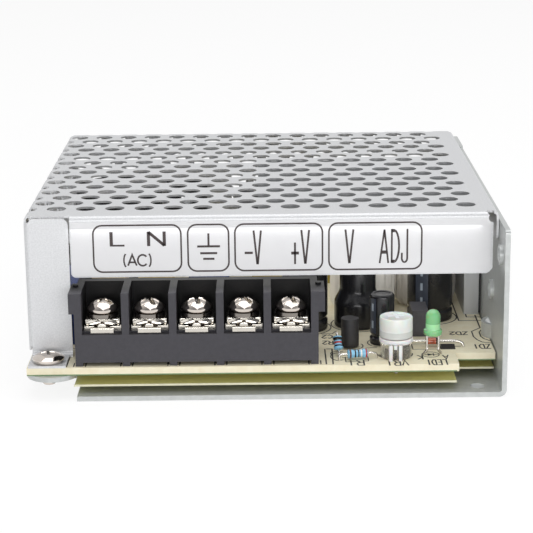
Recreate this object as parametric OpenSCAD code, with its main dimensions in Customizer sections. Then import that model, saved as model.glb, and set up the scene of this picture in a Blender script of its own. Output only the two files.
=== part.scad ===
// Enclosed switching power supply in a perforated sheet steel case,
// with a five way barrier terminal block along its front edge.
// Millimetres. X runs across the case, Y runs back from the terminals, Z is up.
// The origin is the centre of the footprint, on the underside of the base.

/* [Case] */
// Overall width of the case
case_w = 97; // [96:0.5:108]
// Overall length, from the front edge of the base to the rear wall
case_l = 99; // [98.5:0.5:115]
// Overall height of the case
case_h = 36; // [35.5:0.5:44]
// Thickness of the folded base sheet
base_t = 1; // [0.8:0.05:1]
// Thickness of the folded cover sheet
cover_t = 0.45; // [0.4:0.05:0.8]
// Distance of the cover's front face behind the front edge of the base
front_set = 9.2; // [9.1:0.1:9.6]
// Height of the label lip, from the top of the case down
lip_drop = 12.7; // [10:0.1:12.9]

/* [Perforation] */
// Diameter of the round vent holes
vent_d = 4; // [3:0.1:4.4]
// Distance between neighbouring vent holes
vent_pitch = 6; // [5.6:0.1:7]

/* [Circuit board] */
// Height of the board's underside above the underside of the base
board_z = 5; // [4.9:0.1:5.4]
// Thickness of the board
board_t = 1.6; // [1.2:0.1:1.6]
// Thickness of the insulating sheet under the board
sheet_t = 0.4; // [0.3:0.05:0.5]

/* [Terminal block] */
// Distance between neighbouring terminals
term_pitch = 9.5; // [9.4:0.02:9.7]
// Thickness of each barrier between terminals
barrier_t = 1.5; // [1.2:0.1:1.6]
// Height of the barriers above the board
barrier_h = 15.15; // [13:0.05:15.3]
// Diameter of the terminal screw heads
head_d = 6.3; // [5.8:0.1:6.6]
// Outside diameter of the terminal screw threads
thread_d = 3.5; // [3:0.1:3.5]

/* [Indicator and trimmer] */
// Diameter of the status lamp
lamp_d = 3; // [2.6:0.1:3]
// Diameter of the trimmer's knob
knob_d = 6.75; // [6:0.05:6.9]

/* [Components] */
// Diameter of the reservoir capacitor
bulk_d = 20; // [16:0.5:20]
// Height of the reservoir capacitor
bulk_h = 24.5; // [20:0.5:25]
// Diameter of the output capacitors
out_d = 9.8; // [8:0.1:9.9]
// Height of the output capacitors
out_h = 20; // [16:0.5:24]

/* [Hidden] */
$fn = 48;
e = 0.01;
terms = 5;

xl = -case_w / 2;
xr = case_w / 2;
yf = -case_l / 2;
yr = case_l / 2;
yc = yf + front_set;             // front face of the cover
bt = board_z + board_t;          // top of the board
lip_z = case_h - lip_drop;       // lower edge of the label lip
foot_r = 0.8;                    // inside bend radius of the cover's foot
cover_r = 0.9;                   // outside bend radius of the cover
base_r = 1.5;                    // outside bend radius of the base
wall_x = xr - base_t;            // inner face of the base's side wall
cover_xr = wall_x - 0.1;         // outer face of the cover's right lip
corner_x = cover_xr - 1.55;      // relief hole where the front and right folds meet
corner_d = 1.8;
flange_x = xl + cover_t + 0.1;   // outer face of the base's left flange
flange_in = flange_x + base_t;   // inner face of the base's left flange

row_step = vent_pitch * sqrt(3) / 2;
vent_x0 = xl - 0.03;             // column of holes that lands on the left fold
vent_y0 = yr + 0.6;              // row of holes that lands on the rear fold
vent_k = floor((case_w - 6.5) / vent_pitch);
vent_r = floor((yr + 0.6 - yc - 6.5) / row_step);
vent_zl = case_h - 1.3;          // fold holes, where they run onto the left wall
vent_zr = case_h - 1.87;         // fold holes, where they run onto the rear wall
vent_jl = floor((vent_zl - 10.6) / vent_pitch);
vent_jr = floor((vent_zr - 12.4) / row_step);

// Terminal block
blk_x0 = xl + 10.25;             // left end of the block
blk_y0 = yf + 2.3;               // its front face
blk_d = 11.9;                    // its depth
blk_w = terms * term_pitch + barrier_t;
deck_z = bt + 7;                 // deck that the contact plates lie on
plate_t = 1;
plate_z = deck_z + plate_t;      // top of the contact plates
screw_y = yf + 5.8;
clamp_h = 1.7;
washer_t = 0.9;
head_h = 2.7;
clamp_z = plate_z + clamp_h;     // top of the clamp
head_z = clamp_z + washer_t;     // underside of the screw head
run = 0.05;                      // radial clearance of the terminal screws
function term_x(i) = blk_x0 + barrier_t / 2 + term_pitch * (i + 0.5);

// Places on the board. The mains side and the front parts keep their distance from the
// left flange, the output side keeps its distance from the side wall.
lx = xl + 48.5;                  // datum of the left group
rx = xr - 48.5;                  // datum of the right group
trim_c = [lx + 26.65, yf + 7];
lamp_c = [lx + 34.2, yf + 7.5];
lamp_foot = 4.4;                 // height of the lamp's foot over the board
res_a = [lx + 15.2, yf + 4.3];   // lead holes of the lying resistor
res_b = [lx + 22.2, yf + 5.7];
res_up = [lx + 14.9, yf + 8.6];  // the standing resistor
small_q = [lx + 17.75, yf + 14];
small_can = [lx + 24.4, yf + 15.95];
small_can_d = 5.1;
diode_a = [max(rx + 28, small_can[0] + small_can_d / 2 + 0.5), yf + 13.2];
diode_b = [rx + 41, yf + 13.2];
box_cap = [rx + 32.75, yf + 23.6];
choke_c = [rx + 20.1, yf + 29.6];
out_cans = [[rx + 36.1, yf + 34.3], [rx + 8.6, yf + 27.5], [rx + 33.5, yf + 62.5]];
coil_a = [rx + 22, yf + 43];
coil_b = [rx + 36, yf + 46.9];
tx = [8, yf + 75];               // transformer
bulk_c = [lx - 33.6, yf + 62];
line_choke_c = [lx - 29, yf + 39.5];
line_choke_w = 18;
opto_c = [-1.2, yf + 46];
opto_w = 6.2;
disc_x = (line_choke_c[0] + line_choke_w / 2 + opto_c[0] - opto_w / 2 - 0.36) / 2;
ntc_y = (bulk_c[1] + bulk_d / 2 + yr - 11.8) / 2;    // between the reservoir and the post's screw

// A box from two corners
module blk(a, b) {
    translate(a) cube([b[0] - a[0], b[1] - a[1], b[2] - a[2]]);
}

// A quarter of a tube wall, for folds: outside radius r, sheet t, in the first quadrant
module fold(r, t) {
    difference() {
        intersection() { circle(r); square(r + 1); }
        circle(r - t);
    }
}

// A fold along X, turning from +Z (up) to +Y or -Y
module fold_x(x0, x1, y, z, r, t, sy, sz) {
    translate([x0, y, z]) rotate([90, 0, 90]) linear_extrude(x1 - x0)
        mirror([sy < 0 ? 1 : 0, 0]) mirror([0, sz < 0 ? 1 : 0]) fold(r, t);
}

// A fold along Y
module fold_y(y0, y1, x, z, r, t, sx, sz) {
    translate([x, y1, z]) rotate([90, 0, 0]) linear_extrude(y1 - y0)
        mirror([sx < 0 ? 1 : 0, 0]) mirror([0, sz < 0 ? 1 : 0]) fold(r, t);
}

// ---- base ----
ear_c = [xl + 5.25, yf + 5.3];
screw_c = [xl + 4.5, yf + 4.6];
notch_x = xl + 10.5;
base_holes = [[xr - 5.4, yf + 4], [xr - 5.4, yr - 19.5]];
post_c = [[xl + 7.5, yr - 9], [xr - 8, yr - 9]];
wall_holes = [[yf + 17.8, 17.5], [yf + 4.3, 28.5], [yr - 12.2, 17.5]];    // each along Y and up Z
tap_d = 3;                       // bore of every tapped hole
collar_d = 4.1;                  // outside of its drawn collar
bump_y = yf + 21;
bump_z = bt + 0.05;

module base_plan() {
    difference() {
        translate([flange_x + base_r, yf]) square([wall_x + base_t - base_r - flange_x - base_r,
            case_l - cover_t - 0.1]);
        translate([xl - 1, yf - 1]) square([notch_x - xl + 1, 16.5]);
        for (p = concat(base_holes, post_c)) translate(p) circle(d = tap_d);
    }
}

module wall_side() {
    // side wall seen from the right: along Y, up Z
    top = case_h - 1.55;
    difference() {
        union() {
            translate([yf, base_r]) square([case_l, top - base_r - 0.8]);
            translate([yf + 0.8, base_r]) square([case_l - 3.6, top - base_r]);
            translate([yf + 0.8, top - 0.8]) circle(0.8);
            translate([yf + 83.4, base_r]) square([case_l - 86.4, top - base_r + 0.6]);
        }
        for (p = wall_holes) translate(p) circle(d = tap_d);
    }
}

module chassis() color("#aab0b0") difference() {
    union() {
        linear_extrude(base_t) base_plan();
        fold_y(yf, yr - cover_t - 0.1, wall_x + base_t - base_r, base_r, base_r, base_t, 1, -1);
        translate([wall_x, 0, 0]) rotate([90, 0, 90]) linear_extrude(base_t) wall_side();
        // left flange
        fold_y(yf + 15.5, yr - cover_t - 2.6, flange_x + base_r, base_r, base_r, base_t, -1, -1);
        blk([flange_x, yf + 15.5, base_r], [flange_in, yr - cover_t - 2.6, 8]);
        // rear flange
        blk([xl + 20, yr - cover_t - 1.1, 0.5], [xr - 20, yr - cover_t - 0.1, 8]);
        // raised ear at the front left corner
        blk([flange_x + base_r, yf + 14.5, 0], [notch_x, yf + 15.5, board_z - 0.02]);
        translate([0, 0, board_z - 1]) linear_extrude(0.98) union() {
            translate(ear_c) circle(5.25);
            translate([xl, ear_c[1]]) square([10.5, 9.9]);
        }
        // drawn collars for the tapped holes
        for (p = wall_holes)
            translate([wall_x - 0.7, p[0], p[1]]) rotate([0, 90, 0]) cylinder(h = 1, d = collar_d);
        translate([screw_c[0], screw_c[1], board_z - 1.7]) cylinder(h = 1, d = collar_d);
        // drawn posts that carry the back of the board
        for (p = post_c) translate([p[0], p[1], 0.5]) cylinder(h = board_z - 0.52, d = 5);
        // pressed rests for the insulating sheet
        for (x = [-22, 22], y = [yf + 24, yr - 24])
            translate([x, y, 0.5]) cylinder(h = 1.98, d1 = 6, d2 = 4);
        // lanced loop over the board's right edge, and its rests under it
        translate([wall_x + 2.16, bump_y, bump_z]) linear_extrude(3) difference() {
            circle(3.86);
            translate([-2.16 + 0.5, -5]) square(10);
        }
        for (y = [bump_y + 9, yr - 30]) translate([wall_x + 2.16, y, board_z - 2.02])
            linear_extrude(2) difference() {
                circle(3.86);
                translate([-2.16 + 0.5, -5]) square(10);
            }
    }
    translate([wall_x + 2.16, bump_y, bump_z - 1]) intersection() {
        cylinder(h = 5, r = 2.96);
        translate([-5, -5, 1 - e]) cube([10, 10, 3 + 2 * e]);
    }
    for (p = wall_holes)
        translate([wall_x - 2, p[0], p[1]]) rotate([0, 90, 0]) cylinder(h = 4, d = tap_d);
    for (p = concat([screw_c], post_c)) translate([p[0], p[1], -1]) cylinder(h = 8, d = tap_d);
}

// ---- perforated cover ----
// one row of vent centres: k counts rows from the rear fold
function vent_row_x(k) = [for (c = [1 : vent_k]) vent_x0 + (c - (k % 2) / 2) * vent_pitch];

module top_plan() {
    difference() {
        union() {
            translate([xl + cover_r, yc + 1]) square([cover_xr - cover_r - xl - cover_r,
                yr - cover_r - yc - 1]);
        }
        for (k = [0 : vent_r], x = vent_row_x(k))
            translate([x, vent_y0 - k * row_step]) circle(d = vent_d);
        for (k = [2 : 2 : vent_r])
            translate([vent_x0, vent_y0 - k * row_step]) circle(d = vent_d);
        // corner reliefs
        translate([xl + cover_r, yc + 0.7]) circle(0.5);
        translate([corner_x, yc + 0.9]) circle(corner_d / 2);
    }
}

module left_plan() {
    // left wall: along Y, up Z
    difference() {
        union() {
            translate([yf + 15.2, 0.5]) square([yr - cover_t - 0.2 - yf - 15.2, case_h - cover_r - 0.5]);
            translate([yc + cover_r, 7.8]) square([15, case_h - cover_r - 7.8]);
        }
        for (k = [1 : vent_r]) {
            for (j = [0 : vent_jl])
                if (vent_zl - (j + (k % 2) / 2) * vent_pitch > 10.4)
                    translate([vent_y0 - k * row_step, vent_zl - (j + (k % 2) / 2) * vent_pitch])
                        circle(d = vent_d);
        }
        translate([yc + 0.8, case_h - cover_r]) circle(0.5);
    }
}

module rear_plan() {
    // rear wall: along X, up Z
    difference() {
        translate([xl + 0.05, 0.5]) square([cover_xr - 0.1 - xl, case_h - 1.9 - 0.5]);
        for (m = [0 : vent_jr], x = vent_row_x(m))
            translate([x, vent_zr - m * row_step]) circle(d = vent_d);
    }
}

module rear_top_plan() {
    difference() {
        translate([xl + 1.8, case_h - 1.9 - e]) square([cover_xr - 1.8 - xl - 1.8, 1.9 - cover_r + e]);
        for (x = vent_row_x(0)) translate([x, vent_zr]) circle(d = vent_d);
    }
}

module cover() color("#d7dbde") union() {
    translate([0, 0, case_h - cover_t]) linear_extrude(cover_t) top_plan();
    // left fold and wall
    difference() {
        fold_y(yc + cover_r + 0.6, yr - 1.8, xl + cover_r, case_h - cover_r, cover_r, cover_t, -1, 1);
        for (k = [2 : 2 : vent_r]) translate([vent_x0, vent_y0 - k * row_step, case_h - 5]) {
            cylinder(h = 10, d = vent_d);
            translate([-3, 0, 5 - 1.3]) rotate([0, 90, 0]) cylinder(h = 5, d = vent_d);
        }
    }
    translate([xl, 0, 0]) rotate([90, 0, 90]) linear_extrude(cover_t) left_plan();
    // rear fold and wall
    difference() {
        fold_x(xl + 1.8, cover_xr - 1.8, yr - cover_r, case_h - cover_r, cover_r, cover_t, 1, 1);
        for (x = vent_row_x(0)) translate([x, vent_y0, case_h - 5]) {
            cylinder(h = 10, d = vent_d);
            translate([0, 2, 5 - 1.87]) rotate([90, 0, 0]) cylinder(h = 8, d = vent_d);
        }
    }
    translate([0, yr, 0]) rotate([90, 0, 0]) linear_extrude(cover_t) {
        rear_plan();
        rear_top_plan();
    }
    // right fold and short lip
    fold_y(yc + 0.7, yr - 1.8, cover_xr - cover_r, case_h - cover_r, cover_r, cover_t, 1, 1);
    translate([cover_xr - cover_t, 0, 0]) rotate([90, 0, 90]) linear_extrude(cover_t) union() {
        translate([yc + 0.3, 31.2 + case_h - 36]) square([yr - 1.8 - yc - 0.3, 5 - cover_r - 0.2]);
        translate([yc + 1.3, 30.2 + case_h - 36]) square([yr - 1.8 - yc - 1.3, 2]);
        translate([yc + 1.3, 31.2 + case_h - 36]) circle(1);
    }
    // front fold and label lip
    difference() {
        fold_x(-39.2, 46.25 + xr - 48.5, yc + 1, case_h - 1, 1, cover_t, -1, 1);
        translate([corner_x, yc + 0.9, case_h - 3]) cylinder(h = 4, d = corner_d);
        translate([corner_x + 0.35, yc - 1, case_h - 1.2]) rotate([-90, 0, 0])
            cylinder(h = 3, d = corner_d);
    }
    translate([0, yc + cover_t, 0]) rotate([90, 0, 0]) linear_extrude(cover_t) lip_plan();
    // left front flange, folded from the left wall
    translate([xl + cover_r, yc + cover_r, 8.8]) linear_extrude(case_h - 8.8 - 1.2)
        rotate(180) fold(cover_r, cover_t);
    translate([0, yc + cover_t, 0]) rotate([90, 0, 0]) linear_extrude(cover_t) union() {
        translate([xl + cover_r, 8.8]) square([9 - cover_r, case_h - 8.8 - 1.9]);
        polygon([[xl + cover_r, 9], [xl + cover_r, case_h - 1.2], [xl + cover_r + 0.8, case_h - 0.4],
            [xl + 7.5, case_h - 0.4], [xl + 7.5, 9]]);
        translate([xl + 7.5, case_h - 1.9]) circle(1.5);
    }
    // foot that the corner screw holds down
    fold_x(xl + 0.7, xl + 9, yc - foot_r, bt + cover_t + foot_r, foot_r + cover_t, cover_t, 1, -1);
    blk([xl + 0.7, yc, bt + foot_r + cover_t], [xl + 9, yc + cover_t, 8.81]);
    difference() {
        blk([xl + 0.7, yf + 1.4, bt], [xl + 8.3, yc - foot_r, bt + cover_t]);
        translate([screw_c[0], screw_c[1], bt - 1]) cylinder(h = 3, d = 3.3);
    }
}

module lip_plan() {
    x1 = 46.25 + xr - 48.5;
    difference() {
        translate([-39.2, lip_z]) square([x1 + 39.2, lip_drop - 1]);
        translate([x1, lip_z]) rotate(45) square(1.5, center = true);
        translate([-39.2 - e, lip_z - e]) square(1);
        translate([corner_x + 0.35, case_h - 1.2]) circle(d = corner_d);
    }
    translate([-38.2, lip_z + 1]) circle(1);
}

module front_label() color("#e8e8ea") difference() {
    blk([-38.95, yc - 0.12, lip_z + 0.35], [45.75 + xr - 48.5, yc, case_h - 1.15]);
    translate([corner_x + 0.35, yc - 1, case_h - 1.2]) rotate([-90, 0, 0]) cylinder(h = 3, d = corner_d);
}

module cover_film() color("#8f9496")
    blk([-1.2, yc + 2.8, case_h - cover_t - 0.35], [45.6 + xr - 48.5, yf + 65, case_h - cover_t]);

// ---- board and insulating sheet ----
module pcb() color("#ece2bf") difference() {
    translate([0, 0, board_z]) linear_extrude(board_t) difference() {
        union() {
            translate([xl + 0.4, yf + 1.5])
                square([min(lamp_c[0] + 4.8, wall_x - 0.3) - xl - 0.4, 12.4]);
            translate([flange_in + 0.3, yf + 8.5])
                square([wall_x - 0.3 - flange_in - 0.3, case_l - 8.5 - 2.6]);
        }
        translate(screw_c) circle(1.6);
        for (p = post_c) translate(p) circle(1.6);
    }
    translate([flange_in + 0.3 - 2, yf + 13.9, board_z - 1]) cube([1.7 + 0.3, 2, 4]);
}

module insulation_sheet() color("#b3ae5c")
    translate([0, 0, 2.5]) linear_extrude(sheet_t) difference() {
        union() {
            translate([notch_x - 0.6, yf + 1.9]) square([xr - 9.9 - notch_x + 0.6, 12.3]);
            translate([notch_x + 0.3, yf + 1.9]) square([xr - 9.9 - notch_x - 0.3, 20]);
            translate([notch_x + 0.3, yf + 10.4]) square([wall_x - 0.3 - notch_x - 0.3, 20]);
            translate([flange_in + 0.3, yf + 15.8])
                square([wall_x - 0.3 - flange_in - 0.3, case_l - 15.8 - 2.6]);
        }
        for (p = post_c) translate(p) circle(3);
    }

module pan_screw(x, y, z, d, h, shank, l, dome) {
    translate([x, y, z]) {
        intersection() {
            cylinder(h = h, d = d);
            translate([0, 0, h - dome]) sphere(dome, $fn = 64);
        }
        translate([0, 0, -l]) cylinder(h = l + e, d = shank);
    }
}

module cross_cut(x, y, z, w, l, depth, turn) {
    translate([x, y, z - depth]) rotate([0, 0, turn]) {
        translate([-l / 2, -w / 2, 0]) cube([l, w, depth + 3]);
        translate([-w / 2, -l / 2, 0]) cube([w, l, depth + 3]);
    }
}

module cover_screw() color("#c9c6c2") difference() {
    pan_screw(screw_c[0], screw_c[1], bt + cover_t, 6.5, 2.1, 2.9, bt + cover_t - 2.4, 5.2);
    cross_cut(screw_c[0], screw_c[1], bt + cover_t + 2.1, 0.9, 3.6, 1.3, 12);
}

module board_screws() color("#c9c6c2") for (p = post_c) difference() {
    pan_screw(p[0], p[1], bt, 5.6, 2, 2.9, bt - 0.2, 5.2);
    cross_cut(p[0], p[1], bt + 2, 0.9, 3.2, 1.2, 30);
}

// ---- terminal block ----
module terminal_block() color("#4f4e54") difference() {
    union() {
        blk([blk_x0, blk_y0, bt + 0.8], [blk_x0 + blk_w, blk_y0 + 1.6, bt + 6.6]);
        blk([blk_x0, blk_y0 + 1.6 - e, bt + 0.8], [blk_x0 + blk_w, blk_y0 + blk_d, deck_z]);
        blk([blk_x0, blk_y0 + 9.9, deck_z - e],
            [blk_x0 + blk_w, blk_y0 + blk_d, bt + barrier_h]);
        for (i = [0 : terms]) {
            blk([blk_x0 + i * term_pitch, blk_y0, bt],
                [blk_x0 + i * term_pitch + barrier_t, blk_y0 + blk_d, bt + barrier_h - 0.3]);
            blk([blk_x0 + i * term_pitch, blk_y0 + 0.3, bt + barrier_h - 0.4],
                [blk_x0 + i * term_pitch + barrier_t, blk_y0 + blk_d, bt + barrier_h]);
            translate([blk_x0 + i * term_pitch, blk_y0 + 0.3, bt + barrier_h - 0.3])
                rotate([0, 90, 0]) cylinder(h = barrier_t, r = 0.3);
        }
        for (x = [blk_x0 - 1.05, blk_x0 + blk_w - e])
            blk([x, blk_y0, bt + 11], [x + 1.06 + (x > 0 ? 0.25 : 0), blk_y0 + 8.2, bt + barrier_h]);
        for (x = [blk_x0 - 0.1, blk_x0 + blk_w + 0.1])
            translate([x, blk_y0 + 6, bt + barrier_h - 0.1]) cylinder(h = 0.5, d = 1.2);
    }
    for (i = [0 : terms - 1])
        translate([term_x(i), screw_y, deck_z - 5.6]) cylinder(h = 8, d = thread_d + 0.8);
}

module terminal_contacts() color("#d8d4cc") for (i = [0 : terms - 1]) difference() {
    union() {
        blk([term_x(i) - 3.7, blk_y0 + 2.4, deck_z], [term_x(i) + 3.7, blk_y0 + 9.6, plate_z]);
        blk([term_x(i) - 2.3, blk_y0 + 1.1, deck_z + 0.15], [term_x(i) + 2.3, blk_y0 + 2.5, plate_z]);
        blk([term_x(i) - 2.3, blk_y0 + 0.7, deck_z - 0.25],
            [term_x(i) + 2.3, blk_y0 + 1.4, plate_z - 0.4]);
        translate([term_x(i) - 2.3, blk_y0 + 1.1, plate_z - 0.4]) rotate([0, 90, 0])
            cylinder(h = 4.6, r = 0.4);
    }
    translate([term_x(i), screw_y, deck_z - 1]) cylinder(h = 4, d = thread_d + 2 * run);
}

module terminal_screw(i, turn) color("#cfcac4") difference() {
    pan_screw(term_x(i), screw_y, head_z, head_d, head_h, thread_d, head_z - deck_z + 4.1,
        0.6 * head_d);
    cross_cut(term_x(i), screw_y, head_z + head_h, 1, 3.8, 1.5, turn);
    translate([term_x(i), screw_y, head_z + head_h - 0.9]) rotate([0, 0, turn])
        translate([-4, -0.5, 0]) cube([8, 1, 3]);
}

module terminal_washer(i) color("#bdb9b4")
    translate([term_x(i), screw_y, clamp_z]) difference() {
        cylinder(h = washer_t, d = head_d - 0.1);
        translate([0, 0, -1]) cylinder(h = 3, d = thread_d + 0.2);
        rotate([0, 0, -60]) translate([0, -0.25, -1]) cube([5, 0.5, 3]);
    }

module terminal_clamp(i) color("#d4cfc8")
    translate([term_x(i), screw_y, plate_z]) difference() {
        union() {
            blk([-3.65, -3.2, 0.8], [3.65, 3.2, clamp_h]);
            blk([-3.65, -2.6, 0], [-2.85, 3.2, 1]);
            blk([2.85, -2.6, 0], [3.65, 3.2, 1]);
            blk([-1, -3.2, 0], [1, -2.5, 1.2]);
        }
        translate([0, 0, -1]) cylinder(h = 4, d = thread_d + 0.2);
        translate([0, -3.4, clamp_h]) rotate([0, 0, 45]) cube([1.5, 1.5, 1.2], center = true);
        for (s = [-1, 1]) translate([s * 3.9, -3.7, 0.2]) rotate([0, 0, 45])
            cube([1.6, 1.6, 4], center = true);
    }

// ---- indicator, trimmer and small parts at the front ----
module trimmer_base() color("#e4e2d8") translate([trim_c[0], trim_c[1], bt]) union() {
    cylinder(h = 3.2, d = 6.3);
    translate([0, 0, 3.2 - e]) cylinder(h = 1.1, d = 6.8);
    blk([-1.35, -3.75, 0], [1.35, -2.5, 2.6]);
    translate([0, 0, 4]) cylinder(h = 2, d = 2.4);
}

module trimmer_knob() color("#e9e9e2")
    translate([trim_c[0], trim_c[1], bt + 4.34]) difference() {
        union() {
            cylinder(h = 3.9, d = knob_d);
            translate([0, 0, 3.9 - e]) intersection() {
                cylinder(h = 0.31, d = knob_d);
                cylinder(h = 0.31, d1 = knob_d, d2 = knob_d - 0.6);
            }
        }
        translate([0, 0, -1]) cylinder(h = 2.8, d = 2.4 + 0.1);
        cross_cut(0, 0, 4.2, 0.9, 3.6, 1.2, 8);
    }

module status_lamp() color("#6cc083") translate([lamp_c[0], lamp_c[1], bt + lamp_foot]) union() {
    cylinder(h = 1.4, d = lamp_d + 0.75);
    cylinder(h = 3.8, d = lamp_d);
    translate([0, 0, 3.8]) sphere(d = lamp_d);
}

module lamp_leads() color("#cfccc6") for (s = [-1, 1])
    translate([lamp_c[0], lamp_c[1] + 0.25, bt]) rotate([90, 0, 0]) linear_extrude(0.5)
        polygon([[s * 1.02, lamp_foot], [s * 1.52, lamp_foot], [s * 1.52, 2.2], [s * 2.22, 0.5], [s * 2.22, 0],
            [s * 1.72, 0], [s * 1.72, 0.4], [s * 1.02, 2.1]]);

// an axial part lying on the board, from lead hole a to lead hole b
module axial(a, b, d, l, lift, lead) {
    v = b - a;
    w = norm(v);
    translate([a[0], a[1], bt]) rotate([0, 0, atan2(v[1], v[0])]) {
        cylinder(h = lift, d = lead);
        translate([w, 0, 0]) cylinder(h = lift, d = lead);
        translate([0, 0, lift]) {
            sphere(d = lead);
            translate([w, 0, 0]) sphere(d = lead);
            rotate([0, 90, 0]) cylinder(h = w, d = lead);
            translate([w / 2 - l / 2, 0, 0]) rotate([0, 90, 0]) cylinder(h = l, d = d - 0.25);
            for (s = [0.13, 0.87]) translate([w / 2 - l / 2 + l * s - 0.55, 0, 0])
                rotate([0, 90, 0]) cylinder(h = 1.1, d = d);
        }
    }
}

module film_resistors() color("#8fc0dc") {
    axial(res_a, res_b, 1.85, 4.3, 1.15, 0.5);
    translate([res_up[0], res_up[1], bt]) {
        cylinder(h = 4.2, d = 1.95);
        translate([0, 0, 4.2 - e]) cylinder(h = 1.2, d = 0.5);
        translate([0, 0, 5.4]) sphere(d = 0.5);
        translate([0, 0, 5.4]) rotate([90, 0, 0]) cylinder(h = 2, d = 0.5);
        translate([0, -2, 0]) cylinder(h = 5.4, d = 0.5);
        translate([0, -2, 5.4]) sphere(d = 0.5);
    }
}

module signal_diode() color("#c8502c") axial(diode_a, diode_b, 1.8, 3, 1.15, 0.5);

module small_transistor() color("#2d2c2e") translate([small_q[0], small_q[1], bt]) {
    translate([0, 0, 2]) linear_extrude(4.9) difference() {
        circle(d = 4.1);
        translate([-3, 1.1]) square(6);
    }
    for (x = [-1.2, 0, 1.2]) translate([x, 0, 0]) cylinder(h = 2.1, d = 0.5);
}

module can(c, d, h) {
    translate([c[0], c[1], bt]) {
        cylinder(h = 1.6, d = d);
        translate([0, 0, 1.6 - e]) cylinder(h = 0.8, d = d - 0.7);
        translate([0, 0, 2.4 - 2 * e]) cylinder(h = h - 3, d = d);
        translate([0, 0, h - 0.6 - 3 * e]) cylinder(h = 0.6, d1 = d, d2 = d - 1);
    }
}

module small_capacitor() color("#232326") can(small_can, small_can_d, 10.9);

module sleeved_choke() color("#1f1f22") translate([choke_c[0], choke_c[1], bt]) union() {
    cylinder(h = 5.3, d = 10.2);
    translate([0, 0, 5.3 - e]) cylinder(h = 3.2, d1 = 10.2, d2 = 7.8);
    translate([0, 0, 8.5 - 2 * e]) cylinder(h = 6.5, d = 7.8);
}

module output_capacitors() color("#202124") {
    can(out_cans[0], out_d, out_h);
    can(out_cans[1], out_d, out_h - 3);
    can(out_cans[2], out_d, out_h);
}

module box_capacitor() color("#4a4a4e") 
    blk([box_cap[0] - 1.68, box_cap[1] - 3.6, bt], [box_cap[0] + 1.69, box_cap[1] + 3.6, bt + 5.6]);

module coil(c, d, h) {
    translate([c[0], c[1], bt]) rotate_extrude($fn = 64) intersection() {
        translate([d / 2 - 26, h * 0.38]) circle(26, $fn = 96);
        translate([2, 0]) square([d / 2 - 2, h]);
    }
}

module taped_coils() color("#d3d0c8") {
    coil(coil_a, 14.6, 16);
    coil(coil_b, 13.6, 15);
}

// ---- output heatsink on the side wall ----
bar_x1 = wall_x - 0.5;           // face of the bar towards the side wall
bar_x0 = bar_x1 - 3.2;           // its inner face
rect_y = yf + 59.5;              // centre of the rectifier
rect_hole = [rect_y, bt + 15.7]; // its fixing hole, along Y and up Z
module heatsink_bar() color("#b9bcbe") difference() {
    blk([bar_x0, yf + 36, bt], [bar_x1, yf + 80, case_h - 7]);
    translate([bar_x1 - 5, rect_hole[0], rect_hole[1]]) rotate([0, 90, 0]) cylinder(h = 8, d = 3.2);
}

module bar_insulator() color("#2a2a2c") difference() {
    blk([bar_x1, yf + 36.4, bt + 0.3], [wall_x, yf + 81, case_h - 6]);
    translate([bar_x1 - 5, rect_hole[0], rect_hole[1]]) rotate([0, 90, 0]) cylinder(h = 8, d = 3.2);
}

module output_rectifier() color("#27272a") difference() {
    union() {
        blk([bar_x0 - 4.5, rect_y - 5, bt + 3.5], [bar_x0, rect_y + 5, bt + 12.5]);
        blk([bar_x0 - 1.4, rect_y - 5, bt + 12.4], [bar_x0, rect_y + 5, bt + 19]);
        for (y = [-2.54, 0, 2.54]) blk([bar_x0 - 2.8, rect_y + y - 0.4, bt],
            [bar_x0 - 2.2, rect_y + y + 0.4, bt + 3.6]);
    }
    translate([bar_x0 - 6, rect_hole[0], rect_hole[1]]) rotate([0, 90, 0]) cylinder(h = 12, d = 3.2);
}

module rectifier_screw() color("#c9c6c2")
    translate([bar_x0 - 1.4, rect_hole[0], rect_hole[1]]) rotate([0, -90, 0]) {
        cylinder(h = 2, d = 5.6);
        translate([0, 0, -4.4]) cylinder(h = 4.5, d = 2.9);
    }

// ---- mains side and transformer ----
module transformer_core() color("#3b3b3e") translate([tx[0], tx[1], bt]) union() {
    difference() {
        blk([-14, -12.5, 9], [14, 12.5, 19]);
        blk([-9.4, -8.6, 8], [9.4, 8.6, 20]);
    }
    blk([-3.6, -9, 9.2], [3.6, 9, 18.8]);
}

module transformer_winding() color("#e0bf2c") translate([tx[0], tx[1], bt]) union() {
    difference() {
        blk([-9.1, -8.3, 3], [9.1, 8.3, 25]);
        blk([-3.9, -9, 8.9], [3.9, 9, 19.1]);
    }
    blk([-11, -12.3, 0], [11, -9.4, 3.4]);
    blk([-11, 9.4, 0], [11, 12.3, 3.4]);
    blk([-9, -12.3, 2.2], [9, 12.3, 3.4]);
}

module bulk_capacitor() color("#26262a") can(bulk_c, bulk_d, bulk_h);

module line_choke() color("#c9b27c") translate([line_choke_c[0], line_choke_c[1], bt]) union() {
    blk([-line_choke_w / 2, -7.5, 0], [line_choke_w / 2, 7.5, 2]);
    for (s = [-1, 1]) translate([s * 5, 0, 8.5]) rotate([90, 0, 0])
        translate([0, 0, -6]) cylinder(h = 12, d = 7.6);
    difference() {
        blk([-9, -2.6, 1.9], [9, 2.6, 15.6]);
        blk([-1.2, -4, 4.5], [1.2, 4, 12.6]);
    }
}

module line_capacitor() color("#27479a") 
    blk([lx - 45.6, yf + 17, bt], [lx - 39, yf + 33, bt + 13]);

module fuse() color("#b7b4ac") {
    translate([lx - 35, yf + 21, bt + 4]) rotate([0, 90, 0]) cylinder(h = 20, d = 4.6);
    for (x = [lx - 35, lx - 20.6]) {
        translate([x, yf + 21, bt + 4]) rotate([0, 90, 0]) cylinder(h = 5.6, d = 5.2);
        blk([x + 1.6, yf + 20.6, bt], [x + 4, yf + 21.4, bt + 4]);
    }
}

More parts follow.
